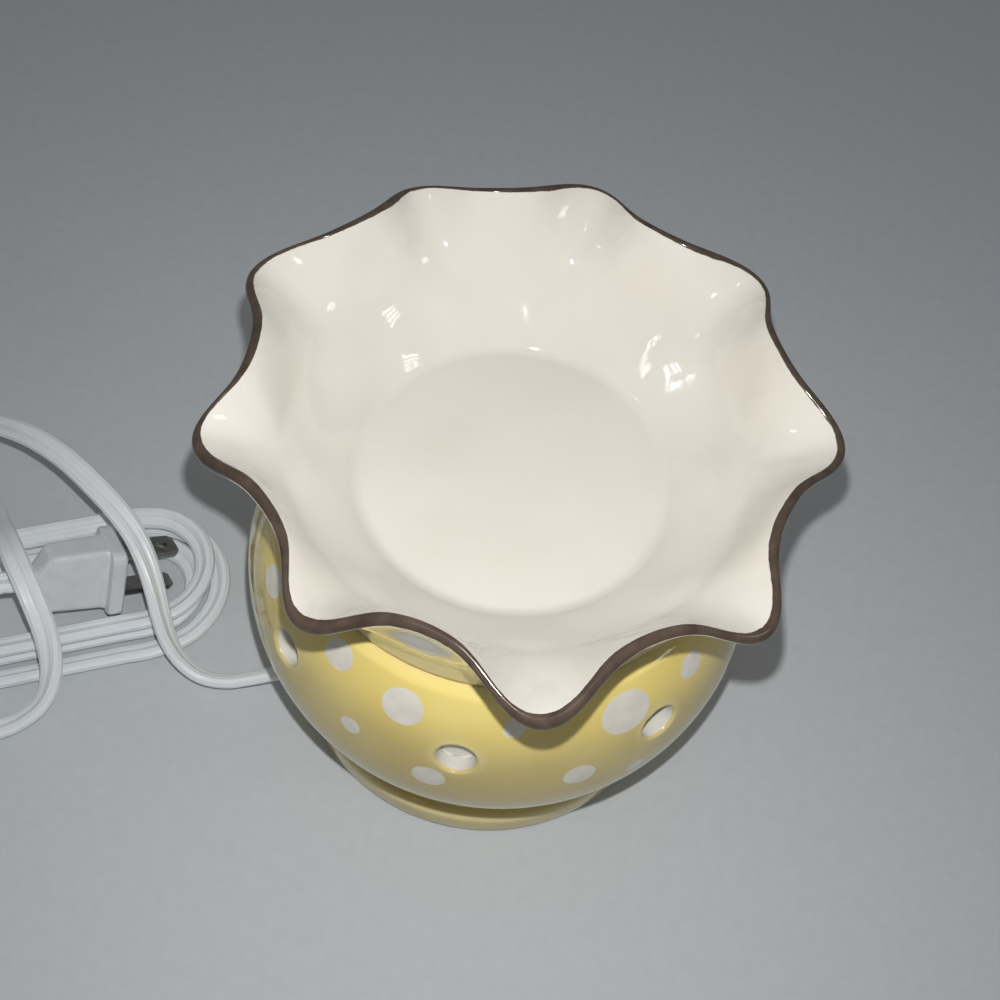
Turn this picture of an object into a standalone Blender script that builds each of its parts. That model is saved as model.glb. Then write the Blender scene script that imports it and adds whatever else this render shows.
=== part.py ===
"""Lamp-heated wax warmer: a dotted ceramic globe under a lift-off dish with a ruffled brim.

Metres, +Z up, the table at z = 0 and the globe's axis on the Z axis.
"""
import math

import bmesh
import bpy
import numpy as np
from mathutils import Matrix, Vector

MM = 0.001
GAP = 0.3 * MM

# Globe body
PAD_H = 1.0 * MM
PAD_R = 3.2 * MM
PAD_COUNT = 4
FOOT_Z = PAD_H + 2 * GAP
FOOT_R = 53.3 * MM
FOOT_IN_R = 44.0 * MM
FOOT_TOP_Z = 9.0 * MM
FOOT_ROUND = 2.4 * MM
NECK_R = 47.2 * MM
NECK_Z = 13.5 * MM
BULGE_R = 62.3 * MM
BULGE_Z = 58.3 * MM
BULGE_H = 56.4 * MM
BULGE_LOW_Z = 36.0 * MM
WALL = 4.6 * MM
EDGE = 1.5 * MM
FLOOR_Z = 17.0 * MM
FLOOR_T = 5.0 * MM
CHAMBER_FLOOR_R = 40.5 * MM
RECESS_R = 40.0 * MM
SEAT_Z = 90.0 * MM
SEAT_R = 50.4 * MM
SEAT_EDGE = 1.0 * MM
MOUTH_R = 45.0 * MM
MOUTH_DEPTH = 7.0 * MM
GLOW_COUNT = 8
GLOW_R = 4.7 * MM
GLOW_Z = 73.4 * MM
GLOW_TURN = math.radians(-93.3)
GLOW_TILT = math.radians(15.0)

# Dish
LOBES = 9
LOBE_STEP = 360.0 / LOBES
DISH_REST_R = 49.8 * MM
DISH_SPIGOT_R = MOUTH_R - 2 * GAP
DISH_SPIGOT_Z = 86.0 * MM
DISH_SPIGOT_T = 3.6 * MM
DISH_UNDER_Z = 93.0 * MM
DISH_FLOOR_Z = 96.4 * MM
DISH_FLOOR_R = 33.6 * MM
DISH_FLOOR_ROUND = 4.0 * MM
BOWL_RISE = 46.0
SHOULDER_R = 49.4 * MM
SHOULDER_Z = 110.5 * MM
SHOULDER_T = 5.0 * MM
BRIM_T = 3.2 * MM
WALL_OUT_R = 51.6 * MM

# Ruffled rim: nine outward tips with a notch after each, all a little uneven as shaped by hand
TIP_R = 66.1 * MM
TIP_Z = 122.1 * MM
TIP_OUT = (-0.5, -0.2, 0.8, -0.3, 0.8, -0.8, -1.7, 1.6, 0.0)
TIP_TURNS = (1.2, 2.7, 1.7, -1.4, -4.2, -3.4, -3.0, -1.1, -0.8)
NOTCH_R = 56.4 * MM
NOTCH_Z = 126.3 * MM
NOTCH_OUT = (-0.6, -0.1, 1.2, 1.6, -0.8, -0.3, -0.8, 0.9, -0.8)
NOTCH_TURNS = (2.5, 3.3, 0.6, -5.6, -1.2, -0.6, -3.4, 0.0, -1.8)
TIP_SHARP = 0.195
SHOULDER_RISE = (55.0, 44.0)
RIM_RISE = (74.0, 24.0)

# Lamp hardware on the axis
NIPPLE_R = 4.75 * MM
NIPPLE_BORE = 3.3 * MM
NIPPLE_Z0 = 11.0 * MM
NIPPLE_Z1 = 25.5 * MM
WASHER_R = 11.0 * MM
WASHER_T = 1.2 * MM
NUT_R = 8.0 * MM
NUT_T = 3.2 * MM
SOCKET_R = 12.0 * MM
SOCKET_IN_R = 8.6 * MM
SOCKET_BASE_T = 5.0 * MM
SOCKET_Z1 = 50.5 * MM
CONTACT_Z = 33.6 * MM
CONTACT_R = 3.6 * MM
CONTACT_T = 0.8 * MM
SHELL_R = 7.1 * MM
SHELL_T = 0.7 * MM
SHELL_Z0 = 35.2 * MM
SHELL_Z1 = 49.5 * MM

# Bulb
CAP_R = 5.9 * MM
TIP_BUTTON_R = 2.4 * MM
TIP_BUTTON_Z = 35.4 * MM
TIP_BUTTON_T = 1.3 * MM
COLLAR_Z = TIP_BUTTON_Z + TIP_BUTTON_T + GAP
COLLAR_T = 2.2 * MM
CAP_Z0 = COLLAR_Z + COLLAR_T + GAP
CAP_Z1 = 52.5 * MM
NECK_GLASS_R = 4.9 * MM
GLOBE_R = 13.5 * MM
GLOBE_START = math.radians(-62.0)
GLOBE_Z = CAP_Z1 - 0.5 * MM - GLOBE_R * math.sin(GLOBE_START)
GLASS_T = 0.8 * MM
STEM_R = 2.6 * MM
STEM_Z1 = GLOBE_Z - 4.0 * MM
LEAD_WIRE_R = 0.4 * MM
FILAMENT_SPAN = 9.0 * MM
FILAMENT_Z = GLOBE_Z + 3.0 * MM

# Supply cord
CORD_R = 2.4 * MM
LEAD_R = 0.95 * MM
LEAD_OFFSET = 1.3 * MM
LEAD_RUN_Z = 5.6 * MM
CORD_HOLE_Z = 7.2 * MM
CORD_TURN = math.radians(198.0)
BUSH_BORE = CORD_R + GAP
BUSH_R = 3.7 * MM
BUSH_FLANGE_R = 5.4 * MM
BUSH_FLANGE_T = 2.0 * MM
CORD_START_R = 40.0 * MM
ROUTE_STEP = 11.0 * MM

# Tied hank of cord
HANK_AT = (-112.4 * MM, -0.1 * MM)
HANK_TURN = math.radians(22.0)
HANK_FOLD_U = 12.0 * MM
HANK_RUN = 96.0 * MM
HANK_IN = 13.5 * MM
HANK_STEP = 7.2 * MM
HANK_OUT = HANK_IN + HANK_STEP
HANK_LAYER = 2 * CORD_R + 0.55 * MM
HANK_Z = CORD_R + GAP
HANK_START = 2 * CORD_R
TIE_U = HANK_FOLD_U - 0.8 * HANK_RUN
TIE_REACH = 19.0 * MM
TIE_DRAW = 5.0 * MM
TIE_T = 1.2 * MM
TIE_W = 5.0 * MM
TIE_LIFT = TIE_T + 2 * GAP
TIE_SLACK = 0.9 * MM

# Plug
PLUG_AT = (-108.1 * MM, 2.85 * MM, 13.8 * MM)
PLUG_TURN = math.radians(31.5)
PLUG_DIP = math.radians(22.0)
PLUG_LEAN = math.radians(19.0)
PLUG_FLANGE = (8.8 * MM, 10.6 * MM)
PLUG_FLANGE_CORNER = 2.6 * MM
PLUG_FLANGE_T = 4.0 * MM
PLUG_BODY = (4.8 * MM, 10.1 * MM)
PLUG_CORNER = 1.4 * MM
PLUG_SHOULDER = 2.8 * MM
PLUG_LENGTH = 20.0 * MM
RELIEF_LENGTH = 7.0 * MM
RELIEF_R = 3.4 * MM
BLADE_GAP = 12.7 * MM
BLADE_T = 1.5 * MM
BLADE_OUT = 16.5 * MM
BLADE_IN = 3.4 * MM
BLADE_WIDE = 7.9 * MM
BLADE_NARROW = 6.35 * MM
BLADE_HOLE_R = 1.6 * MM


def material(name, colour, roughness, metallic=0.0, transmission=0.0):
    mat = bpy.data.materials.new(name)
    mat.use_nodes = True
    shader = mat.node_tree.nodes["Principled BSDF"]
    shader.inputs["Base Color"].default_value = (*colour, 1.0)
    shader.inputs["Roughness"].default_value = roughness
    shader.inputs["Metallic"].default_value = metallic
    shader.inputs["Transmission Weight"].default_value = transmission
    return mat


def make_object(name, verts, faces, look, smooth=True):
    mesh = bpy.data.meshes.new(name)
    mesh.from_pydata([tuple(v) for v in verts], [], faces)
    work = bmesh.new()
    work.from_mesh(mesh)
    bmesh.ops.remove_doubles(work, verts=work.verts, dist=1e-7)
    bmesh.ops.recalc_face_normals(work, faces=work.faces)
    for face in work.faces:
        face.smooth = smooth
    work.to_mesh(mesh)
    work.free()
    obj = bpy.data.objects.new(name, mesh)
    bpy.context.scene.collection.objects.link(obj)
    if look is not None:
        mesh.materials.append(material(name, *look))
    return obj


def grid_faces(rows, columns, closed_rows):
    faces = []
    last = rows if closed_rows else rows - 1
    for i in range(last):
        for j in range(columns):
            k = (i + 1) % rows
            m = (j + 1) % columns
            faces.append((i * columns + j, i * columns + m, k * columns + m, k * columns + j))
    return faces


def sweep_rings(name, rings, look, closed=False, smooth=True):
    """Join rings of equal count into one skin, capped at both ends unless it closes on itself."""
    columns = len(rings[0])
    verts = [p for ring in rings for p in ring]
    faces = grid_faces(len(rings), columns, closed)
    if not closed:
        faces.append(tuple(range(columns)))
        faces.append(tuple(range((len(rings) - 1) * columns, len(rings) * columns)))
    return make_object(name, verts, faces, look, smooth)


def lathe(name, profile, look, segments=32, axis_xy=(0.0, 0.0)):
    """Turn (radius, z) points about a vertical axis; a profile ending on the axis closes in fans."""
    ends_on_axis = profile[0][0] == 0.0
    inner = profile[1:-1] if ends_on_axis else profile
    angles = [2 * math.pi * k / segments for k in range(segments)]
    verts = []
    for r, z in inner:
        verts += [(axis_xy[0] + r * math.cos(a), axis_xy[1] + r * math.sin(a), z) for a in angles]
    faces = grid_faces(len(inner), segments, not ends_on_axis)
    if ends_on_axis:
        low = len(verts)
        verts.append((*axis_xy, profile[0][1]))
        verts.append((*axis_xy, profile[-1][1]))
        top = (len(inner) - 1) * segments
        for k in range(segments):
            m = (k + 1) % segments
            faces.append((low, k, m))
            faces.append((low + 1, top + m, top + k))
    return make_object(name, verts, faces, look)


def arc(centre, radius, start, stop, count):
    """Points of a circular arc in the (radius, z) plane, degrees from the outward direction."""
    turns = np.radians(np.linspace(start, stop, count))
    return [(centre[0] + radius * math.cos(t), centre[1] + radius * math.sin(t)) for t in turns]


def cylinder(name, radius, length, look=None, segments=24):
    return lathe(name, [(0.0, 0.0), (radius, 0.0), (radius, length), (0.0, length)], look, segments)


def cut(target, cutter):
    """Cut one solid out of another for good and drop the cutter."""
    bpy.context.view_layer.update()
    mod = target.modifiers.new("cut", "BOOLEAN")
    mod.operation = "DIFFERENCE"
    mod.solver = "EXACT"
    mod.object = cutter
    graph = bpy.context.evaluated_depsgraph_get()
    mesh = bpy.data.meshes.new_from_object(target.evaluated_get(graph))
    target.modifiers.clear()
    target.data = mesh
    bpy.data.objects.remove(cutter)


def clear_scene():
    for obj in list(bpy.data.objects):
        bpy.data.objects.remove(obj)


def bulge_radius(z):
    return BULGE_R * math.sqrt(max(0.0, 1.0 - ((z - BULGE_Z) / BULGE_H) ** 2))


def bulge_lean(z):
    """How fast the bulge's radius grows with height there."""
    return -(BULGE_R**2 / BULGE_H**2) * (z - BULGE_Z) / bulge_radius(z)


def hermite(a, b, slope_a, slope_b, count):
    """Points from a to b leaving and arriving along the given (radius, z) slopes."""
    out = []
    for t in np.linspace(0.0, 1.0, count):
        h = (2 * t**3 - 3 * t**2 + 1, t**3 - 2 * t**2 + t, 3 * t**2 - 2 * t**3, t**3 - t**2)
        out.append(tuple(h[0] * a[i] + h[1] * slope_a[i] + h[2] * b[i] + h[3] * slope_b[i] for i in (0, 1)))
    return out


def body_outline():
    """Outside of the globe from the foot up to the seat."""
    foot = [(FOOT_R - 0.5 * FOOT_ROUND, FOOT_Z), (FOOT_R - 0.12 * FOOT_ROUND, FOOT_Z + 0.2 * FOOT_ROUND)]
    foot.append((FOOT_R, FOOT_Z + 0.6 * FOOT_ROUND))
    foot += arc((FOOT_R - FOOT_ROUND, FOOT_TOP_Z), FOOT_ROUND, 0, 80, 4)
    rise = BULGE_LOW_Z - NECK_Z
    low = (bulge_radius(BULGE_LOW_Z), BULGE_LOW_Z)
    arrive = (1.33 * rise * bulge_lean(BULGE_LOW_Z), 1.33 * rise)
    neck = hermite((NECK_R, NECK_Z), low, (0.09 * rise, 0.53 * rise), arrive, 6)
    heights = np.linspace(BULGE_LOW_Z, SEAT_Z - EDGE, 11)[1:]
    bulge = [(bulge_radius(z), z) for z in heights]
    seat = [(SEAT_R - 0.1 * SEAT_EDGE, SEAT_Z - 0.5 * SEAT_EDGE), (SEAT_R - SEAT_EDGE, SEAT_Z)]
    return foot + neck + bulge + seat


def body_inside():
    """Mouth, cavity and floor from the seat down to the floor's hole, then the recess below."""
    hole = NIPPLE_R + GAP
    floor_top = FLOOR_Z + FLOOR_T
    top_z = SEAT_Z - MOUTH_DEPTH
    mouth = [(MOUTH_R + 0.5 * SEAT_EDGE, SEAT_Z), (MOUTH_R, SEAT_Z - 0.5 * SEAT_EDGE), (MOUTH_R, top_z)]
    heights = np.linspace(top_z - EDGE, BULGE_LOW_Z, 6)
    cavity = [(bulge_radius(z) - WALL, z) for z in heights]
    drop = BULGE_LOW_Z - floor_top
    leave = (-drop * bulge_lean(BULGE_LOW_Z), -drop)
    side = hermite(cavity[-1], (CHAMBER_FLOOR_R, floor_top), leave, (-0.5 * drop, 0.0), 5)[1:]
    under = [(hole, floor_top), (hole, FLOOR_Z), (RECESS_R, FLOOR_Z), (RECESS_R + EDGE, FLOOR_Z - EDGE)]
    recess = [(0.4 * RECESS_R + 0.6 * FOOT_IN_R, NECK_Z), (FOOT_IN_R, FOOT_TOP_Z)]
    recess += [(FOOT_IN_R, FOOT_Z + 0.4 * EDGE), (FOOT_IN_R + 0.4 * EDGE, FOOT_Z)]
    return mouth + cavity + side + under + recess


def build_body():
    body = lathe("body_shell", body_outline() + body_inside(), ((0.86, 0.68, 0.22), 0.18), 54)
    for k in range(GLOW_COUNT):
        turn = GLOW_TURN + 2 * math.pi * k / GLOW_COUNT
        drill = cylinder("drill", GLOW_R, 4 * WALL)
        place = Matrix.Rotation(turn, 4, "Z") @ Matrix.Translation((bulge_radius(GLOW_Z), 0, GLOW_Z))
        aim = Matrix.Rotation(math.pi / 2 - GLOW_TILT, 4, "Y") @ Matrix.Translation((0, 0, -2 * WALL))
        drill.matrix_world = place @ aim
        cut(body, drill)
    drill = cylinder("drill", BUSH_R + GAP, FOOT_R - FOOT_IN_R + 2 * WALL)
    place = Matrix.Rotation(CORD_TURN, 4, "Z") @ Matrix.Translation((FOOT_IN_R - WALL, 0, CORD_HOLE_Z))
    drill.matrix_world = place @ Matrix.Rotation(math.radians(90), 4, "Y")
    cut(body, drill)


def build_pads():
    ring = (FOOT_R + FOOT_IN_R) / 2
    for k in range(PAD_COUNT):
        turn = CORD_TURN + math.pi / PAD_COUNT + 2 * math.pi * k / PAD_COUNT
        profile = [(0.0, GAP), (PAD_R, GAP), (PAD_R, GAP + PAD_H), (0.0, GAP + PAD_H)]
        at = (ring * math.cos(turn), ring * math.sin(turn))
        lathe("foot_pad_%d" % (k + 1), profile, ((0.30, 0.28, 0.25), 0.9), 14, at)


def rim_knots():
    """Angle in degrees and radius of each tip and notch in turn, a little more than once round."""
    knots = []
    for k in range(-1, LOBES + 1):
        n = k % LOBES
        knots.append((k * LOBE_STEP + TIP_TURNS[n], TIP_R + TIP_OUT[n] * MM))
        knots.append(((k + 0.5) * LOBE_STEP + NOTCH_TURNS[n], NOTCH_R + NOTCH_OUT[n] * MM))
    return knots


def ruffle(angle):
    """How much of a tip the rim is at one angle, 1 to 0 in a notch, and its (radius, z) there."""
    knots = rim_knots()
    degrees = math.degrees(angle)
    n = max(i for i, knot in enumerate(knots) if knot[0] <= degrees)
    share = (degrees - knots[n][0]) / (knots[n + 1][0] - knots[n][0])
    fade = 0.5 + 0.5 * math.cos(math.pi * share)
    on_tip = n % 2 == 0
    w = fade if on_tip else 1.0 - fade
    w -= TIP_SHARP * math.sin(math.pi * w)
    tip, notch = knots[n if on_tip else n + 1][1], knots[n + 1 if on_tip else n][1]
    return w, (notch + (tip - notch) * w, NOTCH_Z + (TIP_Z - NOTCH_Z) * w)


def heading(rise, reach):
    """A (radius, z) step of the given reach climbing at an angle in degrees."""
    return (reach * math.cos(math.radians(rise)), reach * math.sin(math.radians(rise)))


def between(pair, w):
    return pair[0] + (pair[1] - pair[0]) * w


def bowl_curve(angle):
    """Inside of the bowl at one angle, from the floor round its edge and up towards the shoulder."""
    w = ruffle(angle)[0]
    centre = (DISH_FLOOR_R, DISH_FLOOR_Z + DISH_FLOOR_ROUND)
    edge = arc(centre, DISH_FLOOR_ROUND, -90, BOWL_RISE - 90, 4)
    reach = math.hypot(SHOULDER_R - edge[-1][0], SHOULDER_Z - edge[-1][1])
    arrive = heading(between(SHOULDER_RISE, w), reach)
    wall = hermite(edge[-1], (SHOULDER_R, SHOULDER_Z), heading(BOWL_RISE, reach), arrive, 4)
    return edge + wall[1:-1]


def brim_curve(angle, count):
    """Inner face of the brim at one angle, from the shoulder out to the rim."""
    w, end = ruffle(angle)
    reach = math.hypot(end[0] - SHOULDER_R, end[1] - SHOULDER_Z)
    leave = heading(between(SHOULDER_RISE, w), reach)
    return hermite((SHOULDER_R, SHOULDER_Z), end, leave, heading(between(RIM_RISE, w), reach), count)


def offset_curve(curve, thickness):
    """The curve moved outward and down by a thickness that may vary along it."""
    pts = np.array(curve)
    run = np.gradient(pts, axis=0)
    run /= np.linalg.norm(run, axis=1)[:, None]
    normal = np.stack([run[:, 1], -run[:, 0]], axis=1)
    return pts + normal * np.asarray(thickness)[:, None]


def rim_round(inner_end, outer_end):
    """Two points that round the rim between the inner and the outer face."""
    a, b = np.array(inner_end), np.array(outer_end)
    across = b - a
    ahead = np.array([-across[1], across[0]])
    return [a + 0.18 * across + 0.34 * ahead, b - 0.18 * across + 0.34 * ahead]


def dish_profile(angle):
    """Half outline of the dish at one angle, from the underside axis round to the floor's axis."""
    spigot_in = DISH_SPIGOT_R - DISH_SPIGOT_T
    rest_z = SEAT_Z + GAP
    under = [(spigot_in - EDGE, DISH_UNDER_Z), (spigot_in, DISH_UNDER_Z - EDGE)]
    under += [(spigot_in, DISH_SPIGOT_Z), (DISH_SPIGOT_R, DISH_SPIGOT_Z), (DISH_SPIGOT_R, rest_z)]
    rest = [(DISH_REST_R - 0.5 * EDGE, rest_z), (DISH_REST_R, rest_z + 0.5 * EDGE)]
    rise = SHOULDER_Z - SEAT_Z
    wall = [(0.8 * DISH_REST_R + 0.2 * WALL_OUT_R, SEAT_Z + 0.3 * rise)]
    wall.append((0.15 * DISH_REST_R + 0.85 * WALL_OUT_R, SEAT_Z + 0.6 * rise))
    inner = brim_curve(angle, 7)
    outer = offset_curve(inner, np.linspace(SHOULDER_T, BRIM_T, 7))
    rim = rim_round(inner[-1], outer[-1])
    return under + rest + wall + list(outer) + rim[::-1] + inner[::-1] + bowl_curve(angle)[::-1]


def build_dish():
    segments = 10 * LOBES
    angles = [2 * math.pi * k / segments for k in range(segments)]
    columns = [dish_profile(a) for a in angles]
    rows = len(columns[0])
    verts = []
    for i in range(rows):
        for a, column in zip(angles, columns):
            r, z = column[i]
            verts.append((r * math.cos(a), r * math.sin(a), z))
    faces = grid_faces(rows, segments, False)
    low = len(verts)
    verts += [(0, 0, DISH_UNDER_Z), (0, 0, DISH_FLOOR_Z)]
    top = (rows - 1) * segments
    for k in range(segments):
        m = (k + 1) % segments
        faces.append((low, k, m))
        faces.append((low + 1, top + m, top + k))
    make_object("wax_dish", verts, faces, ((0.85, 0.80, 0.70), 0.12))


def ring_profile(r_in, r_out, z0, z1):
    return [(r_out, z0), (r_out, z1), (r_in, z1), (r_in, z0)]


def build_hex_nut(z0):
    count = 24
    rings = []
    for r_kind, z in (("out", z0), ("out", z0 + NUT_T), ("in", z0 + NUT_T), ("in", z0)):
        ring = []
        for k in range(count):
            a = 2 * math.pi * k / count
            flat = NUT_R / math.cos((a + math.pi / 6) % (math.pi / 3) - math.pi / 6)
            r = flat if r_kind == "out" else NIPPLE_R + GAP
            ring.append((r * math.cos(a), r * math.sin(a), z))
        rings.append(ring)
    sweep_rings("nipple_nut", rings, ((0.70, 0.55, 0.28), 0.35, 1.0), closed=True, smooth=False)


def thread_profile(r_in, r_out, z0, z1, crests, depth):
    """Closed ring section with rounded thread crests on its outside."""
    outside = []
    steps = 2 * crests
    for k in range(steps + 1):
        wave = 0.5 - 0.5 * math.cos(2 * math.pi * k * crests / steps)
        outside.append((r_out - depth + depth * wave, z0 + (z1 - z0) * k / steps))
    return outside + [(r_in, z1), (r_in, z0)]


def shell_profile(r_out, wall, z0, z1, crests, depth):
    """Thin corrugated sleeve: the same wave on both faces."""
    outside = []
    steps = 2 * crests
    for k in range(steps + 1):
        wave = 0.5 - 0.5 * math.cos(2 * math.pi * k * crests / steps)
        outside.append((r_out - depth + depth * wave, z0 + (z1 - z0) * k / steps))
    inside = [(r - wall, z) for r, z in reversed(outside)]
    return outside + inside


def build_socket():
    brass = ((0.70, 0.55, 0.28), 0.35, 1.0)
    nipple = thread_profile(NIPPLE_BORE, NIPPLE_R, NIPPLE_Z0, NIPPLE_Z1, 7, 0.3 * MM)
    lathe("socket_nipple", nipple, brass, 14)
    low_z = FLOOR_Z - GAP - WASHER_T
    steel = ((0.55, 0.55, 0.56), 0.3, 1.0)
    lathe("nipple_washer_lower", ring_profile(NIPPLE_R + GAP, WASHER_R, low_z, low_z + WASHER_T), steel, 24)
    build_hex_nut(low_z - GAP - NUT_T)
    up_z = FLOOR_Z + FLOOR_T + GAP
    lathe("nipple_washer_upper", ring_profile(NIPPLE_R + GAP, WASHER_R, up_z, up_z + WASHER_T), steel, 24)
    base = up_z + WASHER_T + GAP
    cup = base + SOCKET_BASE_T
    hole = NIPPLE_R + GAP
    profile = [(SOCKET_R - 1.5 * MM, base), (SOCKET_R, base + 1.5 * MM), (SOCKET_R, SOCKET_Z1 - 8 * MM)]
    profile += [(SOCKET_R - 1.2 * MM, SOCKET_Z1 - 7 * MM), (SOCKET_R - 1.2 * MM, SOCKET_Z1)]
    profile += [(SOCKET_IN_R, SOCKET_Z1), (SOCKET_IN_R, cup), (hole, cup), (hole, base)]
    lathe("socket_body", profile, ((0.06, 0.055, 0.05), 0.45), 28)
    disc = [(0.0, CONTACT_Z), (CONTACT_R, CONTACT_Z), (CONTACT_R, CONTACT_Z + CONTACT_T)]
    lathe("socket_contact", disc + [(0.0, CONTACT_Z + CONTACT_T)], brass, 16)
    lathe("socket_shell", shell_profile(SHELL_R, SHELL_T, SHELL_Z0, SHELL_Z1, 5, 0.2 * MM), brass, 18)


def globe_profile():
    """Bulb glass from the neck's lower lip, over the globe and back down inside."""
    start = math.degrees(GLOBE_START)
    outer = [(NECK_GLASS_R, CAP_Z0 + 6 * MM), (NECK_GLASS_R, CAP_Z1 - 1 * MM)]
    outer += arc((0.0, GLOBE_Z), GLOBE_R, start, 90, 12)
    inner = arc((0.0, GLOBE_Z), GLOBE_R - GLASS_T, 90, start, 12)
    inner += [(NECK_GLASS_R - GLASS_T, CAP_Z1 - 1 * MM), (NECK_GLASS_R - GLASS_T, CAP_Z0 + 6 * MM)]
    return outer, inner


def build_glass():
    """A thin closed skin: outer and inner domes meet round the neck's lip."""
    outer, inner = globe_profile()
    segments = 24
    rows = outer[:-1] + inner[1:]
    verts = []
    for r, z in rows:
        verts += [(r * math.cos(2 * math.pi * k / segments), r * math.sin(2 * math.pi * k / segments), z)
                  for k in range(segments)]
    split = len(outer) - 1
    faces = []
    for i in range(len(rows)):
        nxt = (i + 1) % len(rows)
        if i == split - 1:
            continue
        for k in range(segments):
            m = (k + 1) % segments
            faces.append((i * segments + k, i * segments + m, nxt * segments + m, nxt * segments + k))
    top = len(verts)
    verts += [(0, 0, GLOBE_Z + GLOBE_R), (0, 0, GLOBE_Z + GLOBE_R - GLASS_T)]
    for k in range(segments):
        m = (k + 1) % segments
        faces.append((top, (split - 1) * segments + k, (split - 1) * segments + m))
        faces.append((top + 1, split * segments + m, split * segments + k))
    make_object("bulb_glass", verts, faces, ((0.95, 0.95, 0.93), 0.05, 0.0, 0.9))


def tube(name, points, radius, look, resolution=2):
    """Round tube along a run of points, with filled ends."""
    curve = bpy.data.curves.new(name, "CURVE")
    curve.dimensions = "3D"
    curve.bevel_depth = radius
    curve.bevel_resolution = resolution
    curve.use_fill_caps = True
    line = curve.splines.new("POLY")
    line.points.add(len(points) - 1)
    for slot, p in zip(line.points, points):
        slot.co = (p[0], p[1], p[2], 1.0)
    line.use_smooth = True
    obj = bpy.data.objects.new(name, curve)
    bpy.context.scene.collection.objects.link(obj)
    curve.materials.append(material(name, *look))
    return obj


def smooth_route(points, step):
    """Points at even steps along a smooth curve through the given route points."""
    pts = np.array(points, float)
    pts = np.vstack([2 * pts[0] - pts[1], pts, 2 * pts[-1] - pts[-2]])
    fine = []
    for i in range(1, len(pts) - 2):
        a, b, c, d = pts[i - 1:i + 3]
        spans = [max(np.linalg.norm(q - p), 1e-9) for p, q in ((a, b), (b, c), (c, d))]
        knots = np.cumsum([0.0] + [span**0.5 for span in spans])
        for t in np.linspace(knots[1], knots[2], 24, endpoint=False):
            ab = a + (b - a) * (t - knots[0]) / (knots[1] - knots[0])
            bc = b + (c - b) * (t - knots[1]) / (knots[2] - knots[1])
            cd = c + (d - c) * (t - knots[2]) / (knots[3] - knots[2])
            abc = ab + (bc - ab) * (t - knots[0]) / (knots[2] - knots[0])
            bcd = bc + (cd - bc) * (t - knots[1]) / (knots[3] - knots[1])
            fine.append(abc + (bcd - abc) * (t - knots[1]) / (knots[2] - knots[1]))
    fine.append(pts[-2])
    return even_steps(np.array(fine), step)


def even_steps(line, step):
    reach = np.concatenate([[0.0], np.cumsum(np.linalg.norm(np.diff(line, axis=0), axis=1))])
    count = max(2, int(round(reach[-1] / step)) + 1)
    at = np.linspace(0.0, reach[-1], count)
    return np.stack([np.interp(at, reach, line[:, i]) for i in range(3)], axis=1)


def build_bulb():
    brass = ((0.75, 0.62, 0.36), 0.3, 1.0)
    solder = ((0.62, 0.62, 0.62), 0.4, 1.0)
    button = [(0.0, TIP_BUTTON_Z), (TIP_BUTTON_R * 0.7, TIP_BUTTON_Z)]
    button.append((TIP_BUTTON_R, TIP_BUTTON_Z + 0.5 * MM))
    top = TIP_BUTTON_Z + TIP_BUTTON_T
    lathe("bulb_tip", button + [(TIP_BUTTON_R, top), (0.0, top)], solder, 16)
    top = COLLAR_Z + COLLAR_T
    collar = [(0.0, COLLAR_Z), (3.2 * MM, COLLAR_Z), (4.6 * MM, top), (0.0, top)]
    lathe("bulb_collar", collar, ((0.03, 0.03, 0.035), 0.2), 20)
    cap = shell_profile(CAP_R, 0.6 * MM, CAP_Z0, CAP_Z1 - 2 * MM, 5, 0.2 * MM)
    lathe("bulb_cap", cap, brass, 18)
    build_glass()
    foot = CAP_Z0 + 6 * MM
    stem = [(0.0, foot), (STEM_R + 0.8 * MM, foot), (STEM_R, foot + 3 * MM), (1.6 * MM, STEM_Z1 - 2 * MM)]
    lathe("bulb_stem", stem + [(1.2 * MM, STEM_Z1), (0.0, STEM_Z1)], ((0.9, 0.92, 0.92), 0.1, 0.0, 0.8), 14)
    half = FILAMENT_SPAN / 2
    wire = ((0.5, 0.5, 0.5), 0.35, 1.0)
    for name, side in (("bulb_lead_a", 1), ("bulb_lead_b", -1)):
        base = STEM_Z1 - 1.0 * MM
        path = [(side * 2.4 * MM, 0, base), (side * 2.8 * MM, 0, base + 3 * MM)]
        path.append((side * half, 0, FILAMENT_Z - GAP))
        tube(name, path, LEAD_WIRE_R, wire, 1)
    coil = [(half * math.cos(t), 2.4 * MM * math.sin(t), FILAMENT_Z + LEAD_WIRE_R)
            for t in np.linspace(0.0, math.pi, 9)]
    tube("bulb_filament", coil, LEAD_WIRE_R, ((0.35, 0.34, 0.33), 0.5, 1.0), 1)


def polar(radius, turn, z):
    return (radius * math.cos(turn), radius * math.sin(turn), z)


def build_bushing():
    """Sleeve through the foot with a flange outside; the cord runs through its bore."""
    inner = FOOT_IN_R - 1.0 * MM
    face = FOOT_R + GAP
    outer = face + BUSH_FLANGE_T
    section = [(BUSH_R, 0.0), (BUSH_R, face - inner), (BUSH_FLANGE_R, face - inner)]
    section += [(BUSH_FLANGE_R - 0.6 * MM, outer - inner), (BUSH_BORE, outer - inner), (BUSH_BORE, 0.0)]
    bush = lathe("cord_bushing", section, ((0.80, 0.82, 0.82), 0.4), 20)
    turn = Matrix.Rotation(CORD_TURN, 4, "Z") @ Matrix.Translation((inner, 0, CORD_HOLE_Z))
    bush.data.transform(turn @ Matrix.Rotation(math.radians(90), 4, "Y"))


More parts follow.
